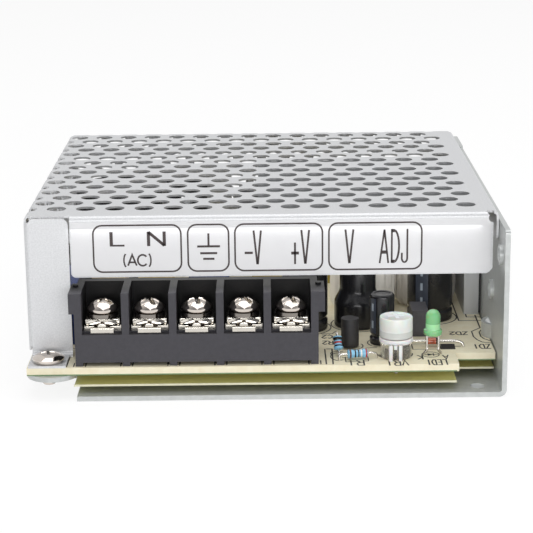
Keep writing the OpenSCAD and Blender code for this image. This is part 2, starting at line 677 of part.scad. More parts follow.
module bridge_rectifier() color("#2b2b2d") {
    blk([lx - 45.6, yf + 35.5, bt + 2.5], [lx - 41.8, yf + 50.5, bt + 13]);
    for (y = [1.6, 5.5, 9.4, 13.3]) blk([lx - 44.1, yf + 35.5 + y - 0.4, bt],
        [lx - 43.3, yf + 35.5 + y + 0.4, bt + 2.6]);
}

module rear_heatsink() color("#b4b7b9") difference() {
    union() {
        blk([lx - 30, yr - 9.5, bt], [lx - 8, yr - 7.5, bt + 23]);
        blk([lx - 30, yr - 9.5, bt + 3], [lx - 28, yr - 4, bt + 23]);
    }
    translate([lx - 19, yr - 6, bt + 15]) rotate([90, 0, 0]) cylinder(h = 8, d = 3.2);
}

module switch_transistor() color("#29292b") difference() {
    union() {
        blk([lx - 24, yr - 14, bt + 4], [lx - 14, yr - 9.5, bt + 13.5]);
        blk([lx - 24, yr - 10.9, bt + 13.4], [lx - 14, yr - 9.5, bt + 19.5]);
        for (x = [-2.54, 0, 2.54])
            blk([lx - 19.4 + x, yr - 12.2, bt], [lx - 18.6 + x, yr - 11.6, bt + 4.1]);
    }
    translate([lx - 19, yr - 6, bt + 15]) rotate([90, 0, 0]) cylinder(h = 12, d = 3.2);
}

module disc(x, y, d, t, lift) {
    translate([x, y, bt]) {
        translate([0, t / 2, lift + d / 2]) rotate([90, 0, 0]) cylinder(h = t, d = d);
        for (s = [-2.5, 2.5]) translate([s, 0, 0]) cylinder(h = lift + 2.5, d = 0.7);
    }
}

module disc_capacitors() color("#2f62b4") {
    disc(disc_x, yf + 54, 10, 4, 9);
    disc(disc_x, yf + 41.5, 9, 3.6, 4);
}

module thermistor() color("#3d5a3c") disc(lx - 40.2, ntc_y, 8, 4, 3.5);

module dip(x, y, w, l) {
    blk([x - w / 2, y - l / 2, bt + 1], [x + w / 2, y + l / 2, bt + 4.4]);
    for (s = [-1, 1], k = [-1, 1]) translate([x + s * (w / 2 + 0.35), y + k * l / 4, bt]) {
        blk([-0.15, -0.4, 0], [0.15, 0.4, 2.6]);
        blk([s > 0 ? -0.36 : -0.15, -0.4, 2.3], [s > 0 ? 0.15 : 0.36, 0.4, 2.6]);
    }
}

module optocoupler() color("#e8e6df") dip(opto_c[0], opto_c[1], opto_w, 4.6);

module control_chip() color("#2a2a2d") dip(-12, yf + 67, 6.2, 9);

chassis();
cover();
front_label();
pcb();
insulation_sheet();
cover_screw();
board_screws();
terminal_block();
terminal_contacts();
terminal_screw(0, 62);  // terminal_screw_1
terminal_screw(1, 25);  // terminal_screw_2
terminal_screw(2, 12);  // terminal_screw_3
terminal_screw(3, 40);  // terminal_screw_4
terminal_screw(4, 20);  // terminal_screw_5
terminal_washer(0);  // terminal_washer_1
terminal_washer(1);  // terminal_washer_2
terminal_washer(2);  // terminal_washer_3
terminal_washer(3);  // terminal_washer_4
terminal_washer(4);  // terminal_washer_5
terminal_clamp(0);  // terminal_clamp_1
terminal_clamp(1);  // terminal_clamp_2
terminal_clamp(2);  // terminal_clamp_3
terminal_clamp(3);  // terminal_clamp_4
terminal_clamp(4);  // terminal_clamp_5
trimmer_base();
trimmer_knob();
status_lamp();
lamp_leads();
film_resistors();
signal_diode();
small_transistor();
small_capacitor();
sleeved_choke();
output_capacitors();
box_capacitor();
heatsink_bar();
bar_insulator();
output_rectifier();
rectifier_screw();
taped_coils();
transformer_core();
transformer_winding();
bulk_capacitor();
line_choke();
line_capacitor();
fuse();
bridge_rectifier();
rear_heatsink();
switch_transistor();
disc_capacitors();
thermistor();
optocoupler();
control_chip();
cover_film();
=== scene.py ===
import bpy
import bmesh
import math
from mathutils import Vector, Matrix


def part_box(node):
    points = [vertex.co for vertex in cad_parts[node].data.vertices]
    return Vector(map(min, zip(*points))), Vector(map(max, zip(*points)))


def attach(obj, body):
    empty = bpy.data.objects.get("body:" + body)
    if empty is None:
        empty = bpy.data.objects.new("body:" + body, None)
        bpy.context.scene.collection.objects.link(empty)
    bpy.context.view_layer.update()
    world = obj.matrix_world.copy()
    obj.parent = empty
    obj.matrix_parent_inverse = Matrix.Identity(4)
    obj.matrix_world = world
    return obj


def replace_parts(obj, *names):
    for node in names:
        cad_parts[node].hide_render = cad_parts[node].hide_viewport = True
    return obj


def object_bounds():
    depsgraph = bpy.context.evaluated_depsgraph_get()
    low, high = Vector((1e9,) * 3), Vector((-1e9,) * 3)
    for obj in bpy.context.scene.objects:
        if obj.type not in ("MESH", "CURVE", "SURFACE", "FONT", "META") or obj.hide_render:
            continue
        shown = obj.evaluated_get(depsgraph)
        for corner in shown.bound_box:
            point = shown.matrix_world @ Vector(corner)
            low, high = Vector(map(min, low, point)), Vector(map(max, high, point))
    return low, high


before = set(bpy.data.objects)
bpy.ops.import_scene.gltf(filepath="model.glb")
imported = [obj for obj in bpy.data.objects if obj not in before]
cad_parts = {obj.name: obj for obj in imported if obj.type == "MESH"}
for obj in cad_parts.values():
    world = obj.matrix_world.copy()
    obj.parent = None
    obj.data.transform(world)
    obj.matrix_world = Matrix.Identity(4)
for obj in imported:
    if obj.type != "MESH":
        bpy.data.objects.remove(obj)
cad_lo, cad_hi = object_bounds()
scene = bpy.context.scene
link = scene.collection.objects.link
MM = 0.001


# ---------------------------------------------------------------- camera
CAMERA_AT = (0.000368, -0.376116, 0.115490)
YAW, TILT, ROLL = 0.0002, 0.2626, 0.0112
SENSOR = 36
FOCAL_LENGTH = 1715.3 / 533          # in widths of the image


def camera():
    """The photograph's view: from the front, tilted down by about 15 degrees."""
    ahead = Vector((math.sin(YAW) * math.cos(TILT), math.cos(YAW) * math.cos(TILT), -math.sin(TILT)))
    level = Vector((math.cos(YAW), -math.sin(YAW), 0))
    steep = ahead.cross(level)
    right = level * math.cos(ROLL) + steep * math.sin(ROLL)
    down = steep * math.cos(ROLL) - level * math.sin(ROLL)
    place = Matrix((right, -down, -ahead)).transposed().to_4x4()
    place.translation = Vector(CAMERA_AT)
    cam = bpy.data.objects.new("camera", bpy.data.cameras.new("camera"))
    cam.matrix_world = place
    cam.data.sensor_width = SENSOR
    cam.data.lens = SENSOR * FOCAL_LENGTH
    cam.data.clip_start, cam.data.clip_end = 0.01, 50
    link(cam)
    scene.camera = cam


# ---------------------------------------------------------------- shader nodes
def node(tree, kind, *inputs, operation=None, **named):
    """Add a shader node. Its inputs, by place or by name, are values or the outputs that feed them."""
    new = tree.nodes.new("ShaderNode" + kind)
    if operation:
        new.operation = operation
    for key, value in [*enumerate(inputs), *named.items()]:
        socket = new.inputs[key if isinstance(key, int) else key.replace("_", " ")]
        if isinstance(value, bpy.types.NodeSocket):
            tree.links.new(value, socket)
        elif value is not None:
            socket.default_value = value
    return new


def ramp(tree, source, *stops):
    """A colour ramp with two stops, each a position and a colour."""
    new = node(tree, "ValToRGB", source)
    for stop, (position, color) in zip(new.color_ramp.elements, stops):
        stop.position, stop.color = position, color
    return new.outputs[0]


def empty_tree(owner):
    """The cleared node tree of a material or world."""
    owner.use_nodes = True
    owner.node_tree.nodes.clear()
    return owner.node_tree


# ---------------------------------------------------------------- materials
def lin(r, g, b):
    """The linear colour that displays as these 8 bit values."""
    def channel(v):
        v /= 255
        return v / 12.92 if v <= 0.04045 else ((v + 0.055) / 1.055) ** 2.4
    return (channel(r), channel(g), channel(b), 1)


def mat(name, color, rough=0.5, metal=0.0, vary=0.06, vscale=300, bump=0.0, bscale=900, rvary=0.0,
        stretch=(1, 1, 1), second=None, **sockets):
    """A surface whose colour, roughness and bump come from noise in the object's own space.

    vary is the share by which the colour wanders, unless second gives the other colour, and rvary is
    how far the roughness does. vscale and bscale are the scales of the colour's and the bump's noise.
    """
    m = bpy.data.materials.new(name)
    tree = empty_tree(m)
    surface = node(tree, "BsdfPrincipled", Roughness=rough, Metallic=metal, **sockets)
    node(tree, "OutputMaterial", surface.outputs[0])
    spot = node(tree, "Mapping", node(tree, "TexCoord").outputs["Object"], Scale=stretch).outputs[0]
    noise = node(tree, "TexNoise", Vector=spot, Scale=vscale, Detail=4).outputs["Fac"]
    darker = tuple(c * (1 - vary) for c in color[:3]) + (1,)
    lighter = tuple(min(1, c * (1 + vary)) for c in color[:3]) + (1,)
    tone = ramp(tree, noise, (0.3, second or darker), (0.7, color if second else lighter))
    tree.links.new(tone, surface.inputs["Base Color"])
    if rvary:
        gloss = node(tree, "MapRange", noise, To_Min=rough - rvary, To_Max=rough + rvary)
        tree.links.new(gloss.outputs[0], surface.inputs["Roughness"])
    if bump:
        grain = node(tree, "TexNoise", Vector=spot, Scale=bscale, Detail=3).outputs["Fac"]
        relief = node(tree, "Bump", Strength=bump, Distance=0.2 * MM, Height=grain)
        tree.links.new(relief.outputs[0], surface.inputs["Normal"])
    return m


def shade(m, factor):
    """Multiply a material's colour by a factor, a function of its tree and of the point's X, Y and Z."""
    tree = m.node_tree
    colour = next(n for n in tree.nodes if n.type == "BSDF_PRINCIPLED").inputs["Base Color"]
    spot = node(tree, "SeparateXYZ", node(tree, "TexCoord").outputs["Object"]).outputs
    scaled = node(tree, "VectorMath", colour.links[0].from_socket, Scale=factor(tree, spot),
                  operation="SCALE")
    tree.links.new(scaled.outputs[0], colour)


def deepen(m, near, far, share):
    """The material darkens towards the back, between two depths in the frame."""
    shade(m, lambda tree, spot: node(tree, "MapRange", spot["Y"], near, far, 1, share).outputs[0])


def vent_walls_painted_shade(m, share=0.6):
    """Painted shade: the punched walls inside the top's vents are painted darker than the sheet's plated
    face, for the shade that falls inside the holes.
    """
    lo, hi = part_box("cover")
    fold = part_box("front_label")[0].y
    limits = (("Z", "LESS_THAN", hi.z - 0.03 * MM), ("Z", "GREATER_THAN", hi.z - 0.43 * MM),
              ("Y", "GREATER_THAN", fold + 2 * MM), ("Y", "LESS_THAN", hi.y - 1.2 * MM),
              ("X", "GREATER_THAN", lo.x + 4 * MM), ("X", "LESS_THAN", hi.x - 4 * MM))

    def inside(tree, spot):
        both = None
        for axis, test, edge in limits:
            held = node(tree, "Math", spot[axis], edge, operation=test).outputs[0]
            both = node(tree, "Math", both, held, operation="MULTIPLY").outputs[0] if both else held
        return node(tree, "MapRange", both, To_Min=1, To_Max=share).outputs[0]

    shade(m, inside)


M = {
    "cover": mat("cover_zinc", lin(215, 216, 218), 0.42, 0.35, 0.075, 3000, 0.06, 2600, 0.05),
    "chassis": mat("base_zinc", lin(194, 197, 196), 0.36, 0.4, 0.06, 900, 0.05, 2600, 0.06),
    "label": mat("label_film", lin(228, 228, 230), 0.26, 0, 0.01, 400),
    "ink": mat("label_ink", lin(62, 52, 52), 0.5, 0, 0.06, 1500),
    "pcb": mat("board_paper", lin(243, 236, 210), 0.45, 0, 0.05, 700, 0.05, 3000,
               second=lin(237, 227, 196)),
    "mask": mat("board_mask", lin(110, 140, 100), 0.35, 0, 0.08, 500),
    "silk": mat("board_print", lin(44, 40, 38), 0.6, 0, 0.1, 1500),
    "sheet": mat("insulation_film", lin(240, 238, 160), 0.3, 0, 0.07, 60, Transmission_Weight=0.1),
    "sheet_edge": mat("insulation_cut", lin(226, 224, 196), 0.5, 0, 0.05, 900),
    "block": mat("block_plastic", lin(69, 68, 73), 0.42, 0, 0.06, 1200, 0.12, 2500,
                 Specular_IOR_Level=0.25),
    "nickel": mat("nickel_plate", lin(222, 216, 208), 0.16, 1.0, 0.05, 700, 0.04, 1800, 0.05),
    "chrome": mat("polished_head", lin(214, 205, 197), 0.08, 1.0, 0.05, 900, 0.03, 2200, 0.04),
    # painted shade: the lock washers are darker than the other plating, for the shadow under the screw heads
    "washer": mat("lock_washer_painted_shade", lin(140, 134, 128), 0.25, 1.0, 0.06, 900),
    "tinned": mat("tinned_plate", lin(214, 209, 200), 0.16, 1.0, 0.04, 900, 0.05, 1500, 0.08),
    "lead": mat("tinned_lead", lin(224, 220, 214), 0.25, 1.0, 0.06, 2500, 0.05, 2500),
    "black_body": mat("moulded_black", lin(42, 41, 43), 0.5, 0, 0.12, 1200, 0.1, 3000),
    "sleeve": mat("shrink_sleeve", lin(30, 30, 33), 0.24, 0, 0.15, 400, 0.03, 900, 0.05),
    "grey_box": mat("moulded_grey", lin(74, 73, 77), 0.5, 0, 0.08, 1500, 0.08, 3000),
    "slate": mat("sleeve_slate", lin(60, 65, 76), 0.3, 0, 0.06, 800),
    "stripe": mat("sleeve_stripe", lin(150, 160, 172), 0.35, 0, 0.05, 800),
    "alu": mat("milled_aluminium", lin(188, 190, 192), 0.42, 0.8, 0.05, 700, 0.1, 1200, 0.06,
               stretch=(1, 1, 0.15)),
    "tape": mat("white_tape", lin(236, 232, 224), 0.45, 0, 0.06, 180, 0.25, 260, stretch=(1, 1, 0.25)),
    "yellow": mat("yellow_tape", lin(158, 140, 58), 0.3, 0, 0.05, 300, 0.1, 300),
    "ferrite": mat("ferrite_core", lin(58, 58, 62), 0.55, 0.1, 0.15, 900, 0.15, 1800),
    "tan": mat("wound_tan", lin(186, 164, 112), 0.5, 0, 0.2, 600, 0.3, 900),
    "blue": mat("blue_epoxy", lin(30, 52, 112), 0.25, 0, 0.08, 300),
    "fuse": mat("fuse_tube", lin(206, 200, 188), 0.2, 0, 0.05, 500),
    "green_disc": mat("green_epoxy", lin(60, 84, 58), 0.4, 0, 0.1, 400),
    "white_body": mat("moulded_white", lin(226, 222, 212), 0.45, 0, 0.04, 800),
    "film": mat("grey_film", lin(84, 86, 87), 0.4, 0, 0.04, 100),
    "knob": mat("knob_milky", lin(238, 240, 237), 0.22, 0, 0.02, 200, Transmission_Weight=0.12,
                Subsurface_Weight=0.5, Subsurface_Scale=0.004),
    "clear": mat("clear_resin", lin(244, 241, 230), 0.08, 0, 0.02, 200, Transmission_Weight=0.92),
    "skirt": mat("skirt_clear", lin(234, 236, 232), 0.1, 0, 0.05, 400, Transmission_Weight=0.3),
    "white_frost": mat("frosted_white", lin(236, 233, 232), 0.35, 0, 0.02, 500, Subsurface_Weight=0.3,
                       Subsurface_Scale=0.001),
    # painted shade: a flat tint, darker than the cap, laid where the cross slot's groove holds shade
    "knob_slot": mat("slot_painted_shade", lin(224, 231, 234), 0.3, 0, 0.04, 300),
    "lamp": mat("lamp_green", lin(144, 222, 156), 0.1, 0, 0.04, 200, Transmission_Weight=0.35,
                Subsurface_Weight=0.5, Subsurface_Scale=0.003, Coat_Weight=0.8),
    "lamp_pale": mat("lamp_core", lin(166, 226, 170), 0.15, 0, 0.04, 200, Subsurface_Weight=0.4,
                     Subsurface_Scale=0.002, Coat_Weight=0.4),
    "res_blue": mat("resistor_blue", lin(128, 186, 218), 0.25, 0, 0.05, 900, Coat_Weight=0.5),
    "brown": mat("band_brown", lin(96, 60, 52), 0.3, 0, 0.08, 900),
    "red": mat("band_red", lin(168, 52, 48), 0.3, 0, 0.08, 900),
    "white_band": mat("band_white", lin(232, 232, 228), 0.3, 0, 0.04, 900),
    "black_band": mat("band_black", lin(30, 26, 26), 0.2, 0, 0.1, 900),
    "diode": mat("diode_glass", lin(214, 96, 58), 0.1, 0, 0.3, 1500, Coat_Weight=1.0,
                 second=lin(110, 44, 34)),
}
# painted shade on the walls inside the top's vents
vent_walls_painted_shade(M["cover"])
# the wells of the terminal block fall into shade behind the barriers' front edges
deepen(M["block"], cad_lo.y + 3.4 * MM, cad_lo.y + 6.5 * MM, 0.1)

# the CAD nodes that wear each material
WORN = {
    "chassis": ["chassis"], "cover": ["cover"], "label": ["front_label"], "pcb": ["pcb"],
    "sheet": ["insulation_sheet"], "block": ["terminal_block"], "clear": ["trimmer_base"],
    "knob": ["trimmer_knob"], "lamp": ["status_lamp"], "lead": ["lamp_leads"],
    "res_blue": ["film_resistors"], "diode": ["signal_diode"], "grey_box": ["box_capacitor"],
    "tape": ["taped_coils"], "ferrite": ["transformer_core"], "yellow": ["transformer_winding"],
    "tan": ["line_choke"], "fuse": ["fuse"], "green_disc": ["thermistor"], "film": ["cover_film"],
    "white_body": ["optocoupler"], "alu": ["heatsink_bar", "rear_heatsink"],
    "blue": ["line_capacitor", "disc_capacitors"],
    "sleeve": ["small_capacitor", "sleeved_choke", "output_capacitors", "bulk_capacitor"],
    "black_body": ["small_transistor", "bar_insulator", "output_rectifier", "bridge_rectifier",
                   "switch_transistor", "control_chip"],
    "nickel": ["cover_screw", "board_screws", "rectifier_screw"]
              + ["terminal_screw_%d" % k for k in range(1, 6)],
    "washer": ["terminal_washer_%d" % k for k in range(1, 6)],
    "tinned": ["terminal_contacts"] + ["terminal_clamp_%d" % k for k in range(1, 6)],
}


def dress_frame():
    """Give every CAD node its material."""
    for material, names in WORN.items():
        for name in names:
            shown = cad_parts[name]
            if not len(shown.data.materials):
                shown.data.materials.append(None)
            for slot in shown.material_slots:
                slot.material = M[material]


# ---------------------------------------------------------------- light
WHITE = (1, 1, 1, 1)
FILL, GLOSS = 0.40, 0.82             # the world's strength on matt surfaces and in reflections


def studio_world():
    """Plain white behind the object, a dimmer fill on it, and reflections that darken to the front."""
    studio = bpy.data.worlds.new("studio")
    scene.world = studio
    tree = empty_tree(studio)
    split = node(tree, "SeparateXYZ", node(tree, "TexCoord").outputs["Generated"])
    depth = node(tree, "MapRange", split.outputs["Y"], -1, 1).outputs[0]
    tone = ramp(tree, depth, (0.15, (0.16, 0.16, 0.17, 1)), (0.62, WHITE))
    fill = node(tree, "Background", WHITE, FILL).outputs[0]
    gloss = node(tree, "Background", tone, GLOSS).outputs[0]
    plain = node(tree, "Background", WHITE, 1.0).outputs[0]
    ray = node(tree, "LightPath").outputs
    seen = node(tree, "Math", ray["Is Camera Ray"], ray["Is Transmission Ray"], operation="MAXIMUM")
    on_object = node(tree, "MixShader", ray["Is Glossy Ray"], fill, gloss)
    node(tree, "OutputWorld", node(tree, "MixShader", seen.outputs[0], on_object.outputs[0],
                                   plain).outputs[0])


def studio_lamp(name, at, size, power, target=(0, 0, 0.015)):
    """A rectangular lamp, in metres and watts, which faces its target."""
    data = bpy.data.lights.new(name, "AREA")
    data.shape = "RECTANGLE"
    data.size, data.size_y = size
    data.energy = power
    lamp = bpy.data.objects.new(name, data)
    lamp.location = at
    lamp.rotation_mode = "QUATERNION"
    lamp.rotation_quaternion = (Vector(target) - Vector(at)).to_track_quat("-Z", "Y")
    link(lamp)


def studio_lamps():
    """Soft light from above and from the front, as in a product photograph."""
    studio_lamp("top_soft", (0.05, -0.05, 0.75), (0.7, 0.7), 2.85)
    studio_lamp("front_soft", (-0.3, -0.75, 0.5), (0.5, 0.4), 0.7)
    studio_lamp("front_low", (0.12, -0.95, 0.13), (0.9, 0.16), 3.1)
    # a weak one under the cover, for the daylight that the mesh lets in
    studio_lamp("vent_daylight", (0.002, -0.013, 0.0335), (0.084, 0.058), 0.017, (0.002, -0.0129, 0))
    studio_lamp("right_soft", (0.7, -0.3, 0.35), (0.3, 0.5), 0.8)


def floor(half=3.0, drop=0.0001, seen_share=0.8, glow=1.08):
    """A pale floor just under the object: nearly white to the eye, and it keeps the shadow."""
    m = bpy.data.materials.new("floor_white")
    tree = empty_tree(m)
    ray = node(tree, "LightPath").outputs
    seen = node(tree, "Math", ray["Is Camera Ray"], ray["Is Glossy Ray"], operation="MAXIMUM").outputs[0]
    seen = node(tree, "Math", seen, ray["Is Transmission Ray"], operation="MAXIMUM").outputs[0]
    seen = node(tree, "Math", seen, seen_share, operation="MULTIPLY").outputs[0]
    matt = node(tree, "BsdfDiffuse", (0.8, 0.8, 0.8, 1)).outputs[0]
    bright = node(tree, "Emission", None, glow).outputs[0]
    node(tree, "OutputMaterial", node(tree, "MixShader", seen, matt, bright).outputs[0])
    mesh = bpy.data.meshes.new("floor")
    corners = [(-half, -half, -drop), (half, -half, -drop), (half, half, -drop), (-half, half, -drop)]
    mesh.from_pydata(corners, [], [(0, 1, 2, 3)])
    mesh.materials.append(m)
    plane = bpy.data.objects.new("floor", mesh)
    link(plane)


# ---------------------------------------------------------------- mesh helpers, in mm
def mm(x, y, z):
    """A point in the frame, in metres."""
    return Vector((x * MM, y * MM, z * MM))


def put(name, bm, mats, body="case", slot="black_plastic", sharp=35):
    """Turn a finished bmesh into a piece that rides on a body. Edges over sharp degrees stay hard."""
    bmesh.ops.recalc_face_normals(bm, faces=bm.faces)
    mesh = bpy.data.meshes.new(name)
    bm.to_mesh(mesh)
    bm.free()
    for m in mats:
        mesh.materials.append(M[m])
    for p in mesh.polygons:
        p.use_smooth = True
    mesh.set_sharp_from_angle(angle=math.radians(sharp))
    piece = bpy.data.objects.new(name, mesh)
    link(piece)
    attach(piece, body)
    return piece


def face(bm, verts, mat=0):
    """A face between points. One that is named twice counts once, and two points make none."""
    if len(set(verts)) > 2:
        bm.faces.new([v for i, v in enumerate(verts) if v not in verts[:i]]).material_index = mat


def skin(bm, rings, mat=0, closed=False):
    """Join each ring of points to the next, and close the two ends or join them."""
    pairs = list(zip(rings, rings[1:]))
    if closed:
        pairs.append((rings[-1], rings[0]))
    for a, b in pairs:
        n = len(a)
        for k in range(n):
            face(bm, [a[k], a[(k + 1) % n], b[(k + 1) % n], b[k]], mat)
    if not closed:
        face(bm, rings[0][::-1], mat)
        face(bm, rings[-1], mat)


def revolve(bm, profile, at, steps=56, mat=0, bands=(), wave=None, axis=None):
    """Turn (radius, height) points about an upright axis through at.

    bands gives (lowest, highest, material) for heights with another material, wave changes the
    radius by angle and height, and axis turns the whole thing to point along another direction.
    """
    turn = Vector((0, 0, 1)).rotation_difference(Vector(axis)).to_matrix() if axis else None

    def point(r, angle, h):
        if wave and r > 0:
            r += wave(angle, h)
        v = Vector((r * math.cos(angle), r * math.sin(angle), h))
        v = turn @ v if turn else v
        return bm.verts.new(mm(at[0] + v.x, at[1] + v.y, at[2] + v.z))

    rings = []
    for r, h in profile:
        n = 1 if r < 1e-6 else steps
        rings.append([point(r, 2 * math.pi * k / steps, h) for k in range(n)])
    for a, b, (_, low), (_, high) in zip(rings, rings[1:], profile, profile[1:]):
        middle_h = (low + high) / 2
        m = next((band[2] for band in bands if band[0] <= middle_h <= band[1]), mat)
        for k in range(steps):
            face(bm, [a[k % len(a)], a[(k + 1) % len(a)], b[(k + 1) % len(b)], b[k % len(b)]], m)
    for ring in (rings[0][::-1], rings[-1]):
        face(bm, ring, mat)


def tube(bm, path, r, steps=10, mat=0):
    """A round wire along a path."""
    path = [Vector(p) for p in path]
    side = None
    rings = []
    for i, p in enumerate(path):
        ahead = (path[min(i + 1, len(path) - 1)] - path[max(i - 1, 0)]).normalized()
        if side is None:
            side = ahead.orthogonal().normalized()
        side = (side - ahead * side.dot(ahead)).normalized()
        up = ahead.cross(side)
        angles = [2 * math.pi * k / steps for k in range(steps)]
        rings.append([bm.verts.new((p + (side * math.cos(a) + up * math.sin(a)) * r) * MM)
                      for a in angles])
    skin(bm, rings, mat)


def bent(path, r=0.8, n=5):
    """The same path with its corners rounded."""
    path = [Vector(p) for p in path]
    out = [path[0]]
    for a, b, c in zip(path, path[1:], path[2:]):
        reach = min(r, (a - b).length * 0.45, (c - b).length * 0.45)
        start, end = b + (a - b).normalized() * reach, b + (c - b).normalized() * reach
        out += [start.lerp(b, u).lerp(b.lerp(end, u), u) for u in (i / n for i in range(n + 1))]
    return out + [path[-1]]


def brick(bm, lo, hi, mat=0, bevel=0.0):
    """A box from two corners, with rounded edges."""
    lo, hi = Vector(lo), Vector(hi)
    place = Matrix.Translation((lo + hi) / 2 * MM) @ Matrix.Diagonal((*((hi - lo) * MM), 1))
    verts = bmesh.ops.create_cube(bm, size=1, matrix=place)["verts"]
    for f in {f for v in verts for f in v.link_faces}:
        f.material_index = mat
    if bevel:
        soften(bm, list({e for v in verts for e in v.link_edges}), bevel)


def soften(bm, edges, width, **settings):
    """Round some edges over a width."""
    bmesh.ops.bevel(bm, geom=edges, offset=width * MM, segments=2, profile=0.6, affect="EDGES",
                    **settings)


def on_top(z):
    """Print that lies on a level surface at height z."""
    return lambda u, v, w: mm(u, v, z + w)


def on_front(y):
    """Print that lies on an upright surface that faces the front."""
    return lambda u, v, w: mm(u, y - w, v)


def line(bm, points, width, place, thick=0.02, closed=False, mat=0):
    """A printed line through 2-D points, a thin solid on its surface."""
    points = [Vector(p) for p in points]
    n = len(points)
    rings = []
    for i, p in enumerate(points):
        before = points[i - 1] if i or closed else p
        after = points[(i + 1) % n] if i < n - 1 or closed else p
        d1 = (p - before).normalized() if (p - before).length else (after - p).normalized()
        d2 = (after - p).normalized() if (after - p).length else d1
        n1, n2 = Vector((-d1.y, d1.x)), Vector((-d2.y, d2.x))
        mitre = (n1 + n2).normalized()
        half = mitre * (width / 2 / max(0.35, mitre.dot(n1)))
        left, right = p + half, p - half
        rings.append([bm.verts.new(place(q.x, q.y, h)) for q, h in
                      ((left, thick), (right, thick), (right, 0.0), (left, 0.0))])
    skin(bm, rings, mat, closed)


def patch(bm, points, place, thick=0.02, mat=0):
    """A printed area, or a plate, with an outline of 2-D points."""
    skin(bm, [[bm.verts.new(place(x, y, h)) for x, y in points] for h in (0.0, thick)], mat)


def span(bm, at, r, a0, a1, z0, z1, thick=0.03, mat=0, n=12):
    """A printed stripe on an upright cylinder, between two angles in degrees."""
    rings = []
    for i in range(n + 1):
        a = math.radians(a0 + (a1 - a0) * i / n)
        rings.append([bm.verts.new(mm(at[0] + q * math.cos(a), at[1] + q * math.sin(a), z))
                      for q, z in ((r, z0), (r + thick, z0), (r + thick, z1), (r, z1))])
    skin(bm, rings, mat)


def arc(cx, cy, r, a0, a1, n=16, ry=None):
    """2-D points from one angle to another, in degrees."""
    ry = ry or r
    angles = [math.radians(a0 + (a1 - a0) * i / n) for i in range(n + 1)]
    return [(cx + r * math.cos(a), cy + ry * math.sin(a)) for a in angles]


def rounded(x0, y0, x1, y1, r, n=6):
    """2-D points of a rectangle with round corners."""
    return (arc(x1 - r, y1 - r, r, 0, 90, n) + arc(x0 + r, y1 - r, r, 90, 180, n)
            + arc(x0 + r, y0 + r, r, 180, 270, n) + arc(x1 - r, y0 + r, r, 270, 360, n))


def join(bm, other):
    """Add another bmesh to this one."""
    mesh = bpy.data.meshes.new("join")
    other.to_mesh(mesh)
    other.free()
    bm.from_mesh(mesh)
    bpy.data.meshes.remove(mesh)


def cut(bm, tool):
    """Take one closed bmesh out of another. The new faces keep the tool's materials."""
    pair = []
    for solid in (bm, tool):
        bmesh.ops.recalc_face_normals(solid, faces=solid.faces)
        mesh = bpy.data.meshes.new("cut")
        solid.to_mesh(mesh)
        solid.free()
        for _ in range(2):           # one slot for the solid's own faces, and one for the cut ones
            mesh.materials.append(M["nickel"])
        pair.append(bpy.data.objects.new("cut", mesh))
        link(pair[-1])
    job = pair[0].modifiers.new("cut", "BOOLEAN")
    job.operation, job.solver, job.object = "DIFFERENCE", "EXACT", pair[1]
    result = bpy.data.meshes.new_from_object(
        pair[0].evaluated_get(bpy.context.evaluated_depsgraph_get()))
    out = bmesh.new()
    out.from_mesh(result)
    bpy.data.meshes.remove(result)
    for solid in pair:
        mesh = solid.data
        bpy.data.objects.remove(solid)
        bpy.data.meshes.remove(mesh)
    return out


# ---------------------------------------------------------------- places in the frame, in mm
def corners(name):
    """The lowest and the highest corner of a CAD node."""
    lo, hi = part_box(name)
    return lo / MM, hi / MM


def middle(name):
    """Centre of a node's footprint, with the height of its foot."""
    lo, hi = corners(name)
    return (lo.x + hi.x) / 2, (lo.y + hi.y) / 2, lo.z


base_lo, base_hi = corners("chassis")
board_lo, board_hi = corners("pcb")
front = base_lo.y                    # front edge of the base
top = board_hi.z                     # top of the board

# The places on the board are x from the middle of the case, and y back from its front edge.
# The round parts that one node holds together also have their diameter or height here.
OUTPUT_CANS = ((36.1, 34.3, 20), (8.6, 27.5, 17), (33.5, 62.5, 20))
COILS = ((22, 43, 14.6, 16), (36, 46.9, 13.6, 15))


